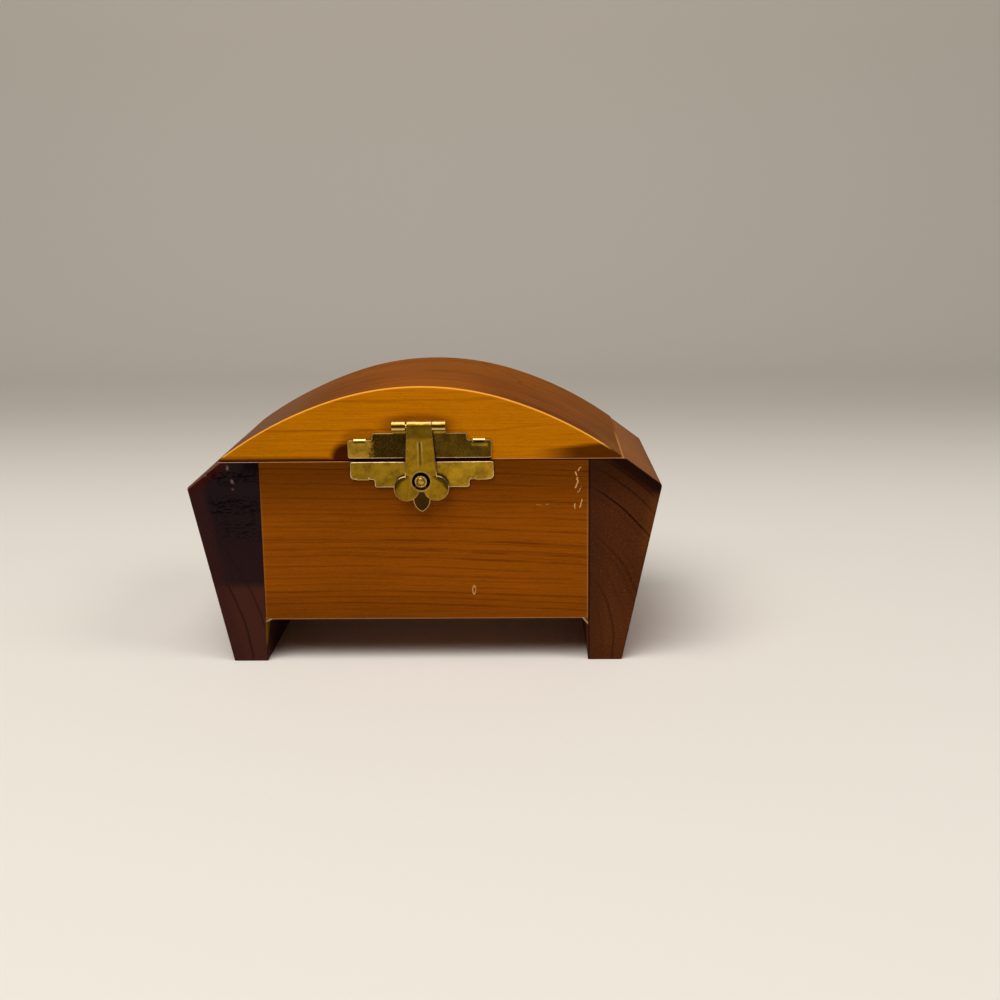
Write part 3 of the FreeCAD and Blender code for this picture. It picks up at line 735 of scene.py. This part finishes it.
# Clasp plate on the lid
# A stepped plate stamped from thin brass sheet that has aged to a mottled olive gold.
# Two tabs are rolled into knuckles for the clasp's pin, and a prong on each wing is driven into the lid.
SHEET = 0.6
PLATE_CORNER = 0.5
RIM = 0.15
PRONG_WIDTH = 2.8
PRONG_LENGTH = 5.0
PRONG_POINT = 2.0
PRONG_SINK = 0.4
PRONG_TIP_SHARE = 0.1
BEND_RADIUS = 0.2
KNUCKLE_RADIUS = 1.25
KNUCKLE_LIFT = 0.15
NECK_LENGTH = 1.55
KNUCKLE_SIDE_GAP = 0.2
PIN_STANDOFF = KNUCKLE_RADIUS + KNUCKLE_LIFT
CURL = math.radians(285)
CURL_STEPS = 19
BEND_STEPS = 6
SHEET_SOFT_EDGE = 0.07
SHEET_RELIEF = 0.012
POLISHED_RELIEF = 0.006
PLATE_WIDTH = 33.6
LID_PLATE_ASIDE = -0.75
LID_PLATE_LOW = 49.8
LID_PLATE_HEIGHT = 5.9
LID_PLATE_MIDDLE = 22.1
LID_WING_HEIGHT = 4.25
LID_PLATE_NECK = 1.8
HASP_KNUCKLE_WIDTH = 5.85
CLASP_KNUCKLE_WIDTH = 3.1
CLASP_KNUCKLE_PLACE = (HASP_KNUCKLE_WIDTH + CLASP_KNUCKLE_WIDTH) / 2 + KNUCKLE_SIDE_GAP
CLASP_PIN_HEIGHT = LID_PLATE_LOW + LID_PLATE_HEIGHT + LID_PLATE_NECK


def roll(steps, angle, y, z):
    """Draws the selected faces round an axis along X, given in millimetres."""
    bpy.ops.mesh.spin(steps=steps, angle=angle, center=(0, y * MM, z * MM), axis=(1, 0, 0))


def stamp_plate(name, brass, width, wing_height, inner_width, height, knuckle_width, knuckles, roll_side,
                outer_corner=PLATE_CORNER, neck=NECK_LENGTH):
    """A stepped plate on the plane y = 0 with its lower edge at z = 0, its rolled tabs and its prongs."""
    prong_place = (width + inner_width) / 4
    prong_root = wing_height - PRONG_SINK
    plate = start_block(name, (-width / 2, -SHEET, 0), (width / 2, 0, prong_root))
    coat(plate, brass, rim_highlight)
    folds = [inner_width / 2, prong_place - PRONG_WIDTH / 2, prong_place + PRONG_WIDTH / 2]
    for middle in knuckles:
        folds += [middle - knuckle_width / 2, middle + knuckle_width / 2]
    for x in sorted({fold * side for fold in folds for side in (-1, 1)}):
        saw((x, 0, 0), (1, 0, 0), off=False)

    def is_prong(place, face):
        on_edge = face.normal.z > FACING and abs(place.z - prong_root) < TOUCH
        return on_edge and abs(abs(place.x) - prong_place) < PRONG_WIDTH / 2
    pick("faces", lambda place, face: face.normal.z > FACING and not is_prong(place, face))
    extrude(0, 0, PRONG_SINK)
    beyond_prongs = prong_place + PRONG_WIDTH / 2 + TOUCH
    pick("edges", lambda place, edge: abs(place.z - prong_root) < TOUCH and abs(place.x) > beyond_prongs)
    bpy.ops.mesh.dissolve_edges(use_verts=True)
    pick("faces", lambda place, face: face.normal.z > FACING and abs(place.x) < inner_width / 2)
    extrude(0, 0, height - wing_height)

    def is_corner(place, edge):
        along = (edge.verts[0].co - edge.verts[1].co).normalized()
        off_prong = abs(abs(abs(place.x) - prong_place) - PRONG_WIDTH / 2) > TOUCH
        return abs(along.y) > 0.99 and edge.calc_face_angle(0) > 0.5 and off_prong

    def is_outer_corner(place, edge):
        return is_corner(place, edge) and abs(place.x) > width / 2 - TOUCH and place.z > wing_height - TOUCH
    ease(outer_corner, is_outer_corner, steps=4)
    ease(PLATE_CORNER, is_corner)

    def is_tab(place, face):
        on_edge = face.normal.z * roll_side > FACING and abs(place.z - max(0, roll_side) * height) < TOUCH
        return on_edge and any(abs(place.x - middle) < knuckle_width / 2 for middle in knuckles)
    if knuckles:
        pick("faces", is_tab)
        extrude(0, -KNUCKLE_LIFT, roll_side * neck)
        axis_height = max(0, roll_side) * height + roll_side * neck
        roll(CURL_STEPS, -roll_side * CURL, -PIN_STANDOFF, axis_height)
    pick("faces", is_prong)
    roll(BEND_STEPS, math.radians(90), BEND_RADIUS, prong_root)
    extrude(0, PRONG_LENGTH - PRONG_POINT, 0)
    extrude(0, PRONG_POINT, 0)
    tip = BEND_RADIUS + PRONG_LENGTH
    for side in (-1, 1):
        pick("verts", lambda place, vert: abs(place.y - tip) < NEAR and place.x * side > 0)
        widen(PRONG_TIP_SHARE, side * prong_place)

    def is_front_rim(place, edge):
        flat_on_front = all(abs(corner.co.y / MM + SHEET) < TOUCH for corner in edge.verts)
        return flat_on_front and edge.calc_face_angle(0) > 1
    # The front rims take the second material, which paints their highlight.
    ease(RIM, is_front_rim, slot=1)
    return plate


def turn_half(axis):
    """Turns the open piece half round an axis through the origin."""
    pick_all()
    bpy.ops.transform.rotate(value=math.pi, orient_axis=axis, center_override=(0, 0, 0))


def aged_brass(name, gold, tarnish, dullness):
    """Stamped brass gone olive: clouds and fine specks of tarnish, duller where they are."""
    brass = Finish(name)
    clouds = brass.noise(brass.x * 0.35, brass.y * 0.35, brass.z * 0.35, 4.0, 0.6)
    specks = brass.noise(brass.x * 2.2, brass.y * 2.2, brass.z * 2.2, 3.0, 0.65)
    brass.tarnish = (clouds * 0.6 + specks * 0.4).band(0.4, 0.66)
    brass.colour = brass.blend(brass.tarnish * dullness, gold, tarnish)
    brass.dim(0.55 + specks * 0.9)
    brass.roughness = 0.24 + brass.tarnish * 0.16 + specks * 0.08
    brass.height = specks * 0.6 + clouds * 0.4
    brass.set("Metallic", 1.0)
    return brass


# The rim material: a pale copy of the brass on the rounded rims, which paints their highlight.
brass = aged_brass("rim_highlight", (250, 224, 170), (204, 162, 92), 0.8)
x, z = brass.x, brass.z
from_hasp = abs(x + 0.6)
lips = abs(z - 49.35).band(0.75, 0.65) * from_hasp.band(3.8, 4.0)
# The highlight stays full on the seam lips and the lower parts; elsewhere it is dulled by painted shade.
lit_rims = lips | z.band(47.2, 46.4)
brass.tint((1 - lit_rims) * 0.75, 132, 98, 34)
# Painted shade on the rims of the hasp's sides.
shaded_hasp_sides = abs(x + 0.8).band(4.0, 3.9) * z.band(46.2, 47.0)
brass.tint(shaded_hasp_sides * 0.65, 70, 48, 14)
# Painted dark reflection on the rims of the lobes' tops.
dark_lobe_top_reflections = from_hasp.band(4.9, 5.3) * from_hasp.band(7.2, 7.0)
dark_lobe_top_reflections = dark_lobe_top_reflections * z.band(43.4, 43.9) * z.band(46.8, 46.4)
brass.tint(dark_lobe_top_reflections * 0.8, 44, 28, 10)
brass.set("Metallic", 0.4)
rim_highlight = brass.complete(POLISHED_RELIEF)

# The lid plate's brass, with the light it shows painted in: a dark reflection over most of the plate,
# reflections round the knuckles, and highlights on the prongs and roll tops.
brass = aged_brass("lid_plate_brass", (182, 142, 42), (112, 82, 22), 0.8)
x, z = brass.x, brass.z
from_middle = abs(x - LID_PLATE_ASIDE)
prong_columns = abs(from_middle - 13.9).band(1.55, 1.4)
# Painted highlights on the bends of the prongs.
prong_highlights = prong_columns * z.band(53.9, 54.05)
# Painted dark reflection over the plate, all but its left wing and the prong bends, mottled.
dark_reflection = (x + (brass.tarnish - 0.5) * 1.2).band(-12.8, -11.6)
dark_reflection = dark_reflection * z.band(56.0, 55.4) * (1 - prong_highlights)
# A lighter band of painted reflection under the right prong.
under_prong_reflection = abs(x - 13.3).band(2.2, 1.6) * abs(z - 52.9).band(0.5, 0.25)
mottle = brass.noise(x * 2.6, 0.0, z * 2.6, 4.0, 0.7)
mottle = mottle.band(0.38, 0.8) * 0.26 + x.band(-2.0, 4.0) * 0.14
dark_reflection = dark_reflection * (0.98 - mottle) * (1 - under_prong_reflection * 0.8)
brass.tint(dark_reflection, 38, 26, 7)
prong_shade = prong_columns * abs(z - 53.62).band(0.32, 0.15)
brass.tint(prong_shade * 0.75, 36, 24, 8)
on_rolls = brass.behind.band(-1.0, -1.4)
# Painted reflections round the knuckles: a dark stripe, and a bright one below it.
dark_reflection_stripe = abs(z - 57.6).band(0.42, 0.25) * on_rolls
brass.tint(dark_reflection_stripe * 0.85, 52, 20, 5)
bright_reflection_stripe = abs(z - 56.9).band(0.3, 0.15) * on_rolls
# Painted highlights on the tops of the rolls.
roll_top_highlights = z.band(58.25, 58.4)
brass.tint(bright_reflection_stripe * 0.7 | prong_highlights * 0.7 | roll_top_highlights * 0.8, 238, 204, 140)

clasp_knuckles = (-CLASP_KNUCKLE_PLACE, CLASP_KNUCKLE_PLACE)
lid_plate = stamp_plate(
    "clasp_upper_plate", brass.complete(SHEET_RELIEF), PLATE_WIDTH, LID_WING_HEIGHT, LID_PLATE_MIDDLE,
    LID_PLATE_HEIGHT, CLASP_KNUCKLE_WIDTH, clasp_knuckles, 1, neck=LID_PLATE_NECK)
carry(LID_PLATE_ASIDE, -HALF_DEPTH, LID_PLATE_LOW)
close_piece(lid_plate, SHEET_SOFT_EDGE, 1)
settle(lid_plate, "lid", "brass", "clasp_lid_plate")

# Clasp plate on the box
# The same kind of stamped plate, upside down on the front panel, with no knuckles.
# It is a little brighter than the lid plate, whose darkness is painted reflection; hands have worn it
# brighter towards its right, and it carries the riveted stud.
BOX_PLATE_ASIDE = -0.3
BOX_PLATE_HIGH = 48.9
BOX_PLATE_HEIGHT = 6.05
BOX_PLATE_MIDDLE = 22.2
BOX_PLATE_CORNER = 1.0
BOX_WING_HEIGHT = 4.2
STUD_PLACE = (-0.55, 44.35)
brass = aged_brass("rubbed_brass", (182, 142, 34), (104, 76, 16), 0.75)
# Nearly black round the stud, inside the hasp's eye: dark grime, and painted shade in the recess.
stud_grime_and_shade = brass.oval(*STUD_PLACE, 1, 1).band(3.0, 2.4)
brass.tint(stud_grime_and_shade, 8, 6, 4)
rubbing = brass.x.band(-12.0, 14.0)
brass.dim(0.78 + rubbing * 0.34)
# Painted highlights on the bends of the prongs.
prong_highlights = abs(abs(brass.x - BOX_PLATE_ASIDE) - 13.95).band(1.55, 1.4)
prong_highlights = prong_highlights * brass.z.band(44.85, 44.7)
brass.tint(prong_highlights * 0.6, 236, 196, 120)
box_plate = stamp_plate(
    "clasp_lower_plate", brass.complete(SHEET_RELIEF), PLATE_WIDTH, BOX_WING_HEIGHT, BOX_PLATE_MIDDLE,
    BOX_PLATE_HEIGHT, 0, (), 1, outer_corner=BOX_PLATE_CORNER)
turn_half("Y")
carry(BOX_PLATE_ASIDE, -HALF_DEPTH, BOX_PLATE_HIGH)
close_piece(box_plate, SHEET_SOFT_EDGE, 1)
settle(box_plate, "box", "brass", "clasp_box_plate")

# Clasp stud
# A turned brass button riveted through the lower plate: a flange, a groove and a domed middle.
# The eye of the hasp drops over it.
STUD_RADIUS = 1.45
STUD_NECK_RADIUS = 0.9
STUD_BACK = -HALF_DEPTH - 1.0
STUD_FRONT = -HALF_DEPTH - 1.55
STUD_CORNERS = 40
STUD_TURNING = ((0.3, 0), (0.08, 0.22), (0.2, -0.2), (0.3, -0.14), (0.3, -0.06))
STUD_SOFT_EDGE = 0.06


def start_round(name, radius, place, length, along, corners):
    """A turned bar in millimetres along X or Y, alone and open in edit mode."""
    clear_bench()
    turn = (0, math.pi / 2, 0) if along == "X" else (math.pi / 2, 0, 0)
    bpy.ops.mesh.primitive_cylinder_add(
        vertices=corners, radius=radius * MM, depth=length * MM, location=Vector(place) * MM, rotation=turn)
    return name_and_open(name)


stud_middle = (STUD_PLACE[0], (STUD_BACK + STUD_FRONT) / 2, STUD_PLACE[1])
stud = start_round("clasp_button", STUD_RADIUS, stud_middle, STUD_BACK - STUD_FRONT, "Y", STUD_CORNERS)
pick("faces", lambda place, face: face.normal.y < -FACING)
for shrink, forward_step in STUD_TURNING:
    bpy.ops.mesh.inset(thickness=shrink * MM)
    move(0, forward_step, 0)
pick("faces", lambda place, face: face.normal.y > FACING)
bpy.ops.mesh.inset(thickness=(STUD_RADIUS - STUD_NECK_RADIUS) * MM)
extrude(0, -STUD_BACK - HALF_DEPTH, 0)
stud_brass = aged_brass("turned_brass", (220, 184, 92), (156, 118, 44), 0.7).complete(POLISHED_RELIEF)
coat(stud, stud_brass)
close_piece(stud, STUD_SOFT_EDGE)
settle(stud, "box", "brass", "clasp_stud")

# Hasp
# A tongue of brass sheet rolled round the clasp's pin, with a rib pressed down its middle.
# It widens to a punched eye between two round lobes, and ends in a pointed finger tip behind them.
EYE_DROP = 12.85
EYE_RADIUS = 2.15
PUNCH_LENGTH = 4.0
SHOULDER_DROP = 11.1
SHOULDER_WIDTH = 7.4
LOBE_DROP = 14.6
LOBE_SPREAD = 3.45
LOBE_RADIUS = 3.0
TIP_DROP = 20.15
TIP_WIDTH = 3.94
TIP_LENGTH = 2.95
TIP_SET_BACK = 0.3
WEB_DROP = 15.4
RIB_WIDTH = 0.8
RIB_TOP = 3.5
RIB_LENGTH = 6.5
RIB_HEIGHT = 0.22
RIB_ROOT = 0.1
HASP_PLAY = 0.15
HASP_LEAN = 0.016
HASP_LEAN_START = -1.8
HASP_SOFT_EDGE = 0.1
HASP_MERGE_DISTANCE = 0.02
TONGUE_RIM = 0.13
LOBE_ROUNDING = 0.42
RIB_ROUNDING = 0.2
RIB_TOP_SHARE = 0.25
ROUND_CORNERS = 48
TIP_CORNERS = 64
brass = aged_brass("hasp_brass", (168, 128, 26), (100, 72, 13), 0.7)
x, z = brass.x, brass.z
below_pin = CLASP_PIN_HEIGHT - z
from_middle = abs(x - LID_PLATE_ASIDE - HASP_PLAY - below_pin * HASP_LEAN)
# Painted dark reflection over the hasp above its bend.
upper_dark_reflection = z.band(54.3, 55.2) * z.band(58.0, 57.6)
# The pressed rib is painted: shade down its middle and highlights along its sides.
rib_run = z.band(54.2, 53.6) * z.band(46.8, 50.0)
rib_shade_line = from_middle.band(0.26, 0.08) * rib_run
rib_side_highlights = abs(from_middle - 0.46).band(0.26, 0.1) * rib_run
rib_side_highlights = rib_side_highlights * (0.45 + z.band(51.5, 53.0) * 0.55)
# A painted highlight round the rim of the eye.
eye_rim_highlight = abs(from_middle.hypot(below_pin - EYE_DROP) - EYE_RADIUS - 0.18).band(0.22, 0.08)
lobe_side = from_middle - LOBE_SPREAD
lobe_rise = z - CLASP_PIN_HEIGHT + LOBE_DROP
from_lobe = lobe_side.hypot(lobe_rise)
# Painted dark reflections in crescents on the upper outer parts of the lobes.
dark_reflection_crescents = from_lobe.band(1.4, 2.3) * from_lobe.band(3.2, 3.0) * (lobe_side + lobe_rise).band(1.7, 2.8)
brass.tint(upper_dark_reflection * 0.55 | rib_shade_line * 0.6 | dark_reflection_crescents * 0.85, 54, 40, 10)
brass.tint(rib_side_highlights * 0.55 | eye_rim_highlight * 0.3, 214, 180, 104)
left_lobe = x.band(-2.6, -3.8) * z.band(46.0, 45.0)
brass.dim(1 - left_lobe * 0.16)
# A painted highlight on the top of the roll.
roll_top_highlight = z.band(58.25, 58.4)
brass.tint(roll_top_highlight * 0.8, 238, 204, 140)
# The pointed tip behind the lobes is dark with tarnish and painted shade from the lobes above, and its rim
# has a painted highlight.
tip_place = brass.behind.band(-2.5, -2.4) * z.band(42.4, 42.1) * from_middle.band(2.05, 1.98)
tip_radius = (TIP_LENGTH ** 2 + (TIP_WIDTH / 2) ** 2) / TIP_WIDTH
tip_side = from_middle + tip_radius - TIP_WIDTH / 2
into_tip = tip_side.hypot(z - CLASP_PIN_HEIGHT - TIP_LENGTH + TIP_DROP)
tip_rim_highlight = into_tip.band(tip_radius - 0.21, tip_radius - 0.1)
tip_tarnish_shade_and_highlight = brass.blend(tip_rim_highlight, (52, 33, 12), (206, 160, 98))
brass.colour = brass.blend(tip_place * 0.95, brass.colour, tip_tarnish_shade_and_highlight)
hasp_brass = brass.complete(SHEET_RELIEF)

front = -KNUCKLE_RADIUS
back = front + SHEET
hasp = start_block("hasp_tongue", (-HASP_KNUCKLE_WIDTH / 2, front, -SHOULDER_DROP),
                   (HASP_KNUCKLE_WIDTH / 2, back, 0))
coat(hasp, hasp_brass, rim_highlight)
pick("verts", lambda place, vert: place.z < -1)
widen(SHOULDER_WIDTH / HASP_KNUCKLE_WIDTH)
# The tongue's front rims take the rim material, which paints their highlight.
ease(TONGUE_RIM, lambda place, edge: abs(place.y - front) < TOUCH and abs(place.x) > 2.5, slot=1)
pick("faces", lambda place, face: face.normal.z < -FACING)
extrude(0, 0, SHOULDER_DROP - WEB_DROP)
pick("faces", lambda place, face: face.normal.z > FACING)
roll(CURL_STEPS, CURL, 0, 0)
for side in (-1, 1):
    lobe = start_round("lobe", LOBE_RADIUS, (side * LOBE_SPREAD, (front + back) / 2, -LOBE_DROP),
                       SHEET, "Y", ROUND_CORNERS)
    coat(lobe, hasp_brass, rim_highlight)
    ease(LOBE_ROUNDING, lambda place, edge: abs(place.y - front) < TOUCH, steps=4)
    # The lobes' rounded sides take the rim material too, with its painted highlight.
    pick("faces", lambda place, face: -0.75 < face.normal.y < 0.5)
    lobe.active_material_index = 1
    bpy.ops.object.material_slot_assign()
    carve(hasp, lobe, "UNION")
rib = start_block("rib", (-RIB_WIDTH / 2, front - RIB_HEIGHT, -RIB_TOP - RIB_LENGTH),
                  (RIB_WIDTH / 2, front + RIB_ROOT, -RIB_TOP))
coat(rib, hasp_brass, rim_highlight)
pick("verts", lambda place, vert: place.z > -RIB_TOP - NEAR)
widen(RIB_TOP_SHARE)
ease(RIB_ROUNDING, lambda place, edge: abs(place.y - front + RIB_HEIGHT) < TOUCH)
carve(hasp, rib, "UNION")
tip_sides = []
for side in (-1, 1):
    middle = (side * (tip_radius - TIP_WIDTH / 2), (front + back + TIP_SET_BACK) / 2, TIP_LENGTH - TIP_DROP)
    tip_sides.append(start_round("tip", tip_radius, middle, SHEET - TIP_SET_BACK, "Y", TIP_CORNERS))
    coat(tip_sides[-1], hasp_brass, rim_highlight)
carve(tip_sides[0], tip_sides[1], "INTERSECT")
carve(hasp, tip_sides[0], "UNION")
punch = start_round("eye", EYE_RADIUS, (0, front, -EYE_DROP), PUNCH_LENGTH, "Y", ROUND_CORNERS)
carve(hasp, punch, "DIFFERENCE")
bpy.ops.object.mode_set(mode="EDIT")
pick_all()
bpy.ops.mesh.remove_doubles(threshold=HASP_MERGE_DISTANCE * MM)
pick("verts", lambda place, vert: place.z < HASP_LEAN_START)
bpy.ops.transform.rotate(value=HASP_LEAN, orient_axis="Y", center_override=(0, 0, 0))
carry(LID_PLATE_ASIDE + HASP_PLAY, -HALF_DEPTH - PIN_STANDOFF, CLASP_PIN_HEIGHT)
close_piece(hasp, HASP_SOFT_EDGE, 1)
settle(hasp, "hasp", "brass", "clasp_hasp")

# Clasp pin
# A short brass wire through the three knuckles of the clasp, with its ends filed round.
# It sits fast in the lid plate's two knuckles, and the hasp turns on it.
PIN_RADIUS = 0.6
PIN_ROUNDING = 0.2
PIN_SOFT_EDGE = 0.03
PIN_CORNERS = 24


def draw_wire(name, place, length, brass):
    """A pin of drawn wire along X, with its ends filed round."""
    wire = start_round(name, PIN_RADIUS, place, length, "X", PIN_CORNERS)
    ease(PIN_ROUNDING, lambda place, edge: edge.calc_face_angle(0) > 1)
    coat(wire, brass)
    close_piece(wire, PIN_SOFT_EDGE)
    return wire


clasp_pin_length = HASP_KNUCKLE_WIDTH + 2 * (KNUCKLE_SIDE_GAP + CLASP_KNUCKLE_WIDTH)
clasp_pin_place = (LID_PLATE_ASIDE, -HALF_DEPTH - PIN_STANDOFF, CLASP_PIN_HEIGHT)
clasp_pin = draw_wire("clasp_wire", clasp_pin_place, clasp_pin_length, stud_brass)
settle(clasp_pin, "lid", "brass", "clasp_hinge_pin")

# Hinges
# Two pairs of stamped leaves on the back, of the same family as the clasp, each on a wire pin.
# The middle knuckle belongs to the lid's leaf, the two end knuckles to the box's leaf.
HINGE_LEAF = (17.0, 4.2, 9.4, 5.9)
HINGE_ASIDE = 26.0
HINGE_PIN_HEIGHT = 49.125
HINGE_MIDDLE_KNUCKLE = 5.4
HINGE_END_KNUCKLE = 2.9
HINGE_KNUCKLE_PLACE = (HINGE_MIDDLE_KNUCKLE + HINGE_END_KNUCKLE) / 2 + KNUCKLE_SIDE_GAP
hinge_brass = aged_brass("hinge_brass", (188, 148, 34), (112, 82, 18), 0.75).complete(SHEET_RELIEF)
end_knuckles = (-HINGE_KNUCKLE_PLACE, HINGE_KNUCKLE_PLACE)
leaf_kinds = (("hinge_on_lid", HINGE_MIDDLE_KNUCKLE, (0,), "Z"),
              ("hinge_on_box", HINGE_END_KNUCKLE, end_knuckles, "X"))
leaves = []
for name, knuckle_width, knuckles, axis in leaf_kinds:
    leaf = stamp_plate(name, hinge_brass, *HINGE_LEAF, knuckle_width, knuckles, -1)
    carry(0, 0, NECK_LENGTH)
    turn_half(axis)
    carry(-HINGE_ASIDE, HALF_DEPTH, HINGE_PIN_HEIGHT)
    close_piece(leaf, SHEET_SOFT_EDGE, 1)
    leaves.append(leaf)
hinge_pin_length = HINGE_MIDDLE_KNUCKLE + 2 * (KNUCKLE_SIDE_GAP + HINGE_END_KNUCKLE)
hinge_pin_place = (-HINGE_ASIDE, HALF_DEPTH + PIN_STANDOFF, HINGE_PIN_HEIGHT)
hinge_wire = draw_wire("hinge_wire", hinge_pin_place, hinge_pin_length, hinge_brass)
for piece, body, node in ((leaves[0], "lid", "hinge_lid_leaf"), (leaves[1], "box", "hinge_box_leaf"),
                          (hinge_wire, "box", "hinge_pin")):
    take_up(piece)
    bpy.ops.object.duplicate(linked=False)
    other = bpy.context.object
    move(2 * HINGE_ASIDE, 0, 0)
    bpy.ops.object.transform_apply(location=True, rotation=True, scale=True)
    other.name = "right_" + piece.name
    piece.name = "left_" + piece.name
    settle(piece, body, "brass", "left_" + node)
    settle(other, body, "brass", "right_" + node)

# Floor, light and camera
# A pale floor that rises to a backdrop, one broad lamp above and in front, and a weak one at the side.
# The camera stands where the photograph was taken from. Floor and lamps are given in metres.
FLOOR_REACH = 1.6
BACKDROP_PLACE = 0.5
BACKDROP_RISE = (0, 0.06, 0.8)
CURVE_RADIUS = 0.25
CURVE_TURN = math.radians(85)
CURVE_STEPS = 16
CLOTH_RELIEF = 0.02
LAMP_AIM = (0, 0, 0.03)
SENSOR_WIDTH = 36.0
FOCAL_LENGTH = 48.6
CAMERA_PLACE = (23.9, -341.35, 108.4)
YAW = -0.0194
TILT = 0.2187
ROLL = 0.0108
clear_bench()
bpy.ops.mesh.primitive_plane_add(size=2 * FLOOR_REACH, location=(0, BACKDROP_PLACE - FLOOR_REACH, 0))
floor = name_and_open("floor")
pick("edges", lambda place, edge: place.y > BACKDROP_PLACE / MM - NEAR)
curve_middle = (0, BACKDROP_PLACE, CURVE_RADIUS)
bpy.ops.mesh.spin(steps=CURVE_STEPS, angle=-CURVE_TURN, center=curve_middle, axis=(1, 0, 0))
bpy.ops.mesh.extrude_region_move(TRANSFORM_OT_translate={"value": BACKDROP_RISE})
bpy.ops.object.mode_set(mode="OBJECT")
bpy.ops.object.shade_smooth()
cloth = Finish("pale_floor")
# Painted shade: the far part of the floor and the backdrop are painted darker.
far_shade = cloth.y.band(90.0, 420.0)
cloth.colour = cloth.blend(far_shade, (236, 228, 217), (200, 192, 180))
cloth.roughness = 0.8 + far_shade * 0.1
cloth.height = cloth.noise(cloth.x * 0.5, cloth.y * 0.5, cloth.z * 0.5)
cloth.set("Specular IOR Level", 0.1)
coat(floor, cloth.complete(CLOTH_RELIEF))

world = bpy.data.worlds.new("studio")
world.use_nodes = True
nodes = world.node_tree.nodes
links = world.node_tree.links
unseen = nodes["Background"]
unseen.inputs["Color"].default_value = (0.5, 0.48, 0.46, 1)
unseen.inputs["Strength"].default_value = 0.2
seen = nodes.new("ShaderNodeBackground")
seen.inputs["Color"].default_value = paint(176, 168, 156)
sight = nodes.new("ShaderNodeLightPath")
choice = nodes.new("ShaderNodeMixShader")
links.new(sight.outputs["Is Camera Ray"], choice.inputs[0])
links.new(unseen.outputs[0], choice.inputs[1])
links.new(seen.outputs[0], choice.inputs[2])
links.new(choice.outputs[0], nodes["World Output"].inputs[0])
scene = bpy.context.scene
scene.world = world


def add_lamp(name, place, size, power):
    """A square soft lamp that shines on the chest."""
    lamp = bpy.data.lights.new(name, "AREA")
    lamp.shape = "SQUARE"
    lamp.size = size
    lamp.energy = power
    holder = bpy.data.objects.new(name, lamp)
    holder.location = place
    holder.rotation_euler = (Vector(LAMP_AIM) - Vector(place)).to_track_quat("-Z", "Y").to_euler()
    scene.collection.objects.link(holder)


add_lamp("broad_lamp", (-0.25, -0.45, 0.95), 0.9, 11.0)
add_lamp("side_lamp", (0.75, -0.35, 0.85), 0.5, 2.6)

camera_data = bpy.data.cameras.new("camera")
camera_data.sensor_width = SENSOR_WIDTH
camera_data.lens = FOCAL_LENGTH
camera = bpy.data.objects.new("camera", camera_data)
stand = Matrix.Translation(Vector(CAMERA_PLACE) * MM)
for angle, axis in ((-YAW, "Z"), (math.pi / 2 - TILT, "X"), (-ROLL, "Z")):
    stand = stand @ Matrix.Rotation(angle, 4, axis)
camera.matrix_world = stand
scene.collection.objects.link(camera)
scene.camera = camera
scene.view_settings.view_transform = "Standard"
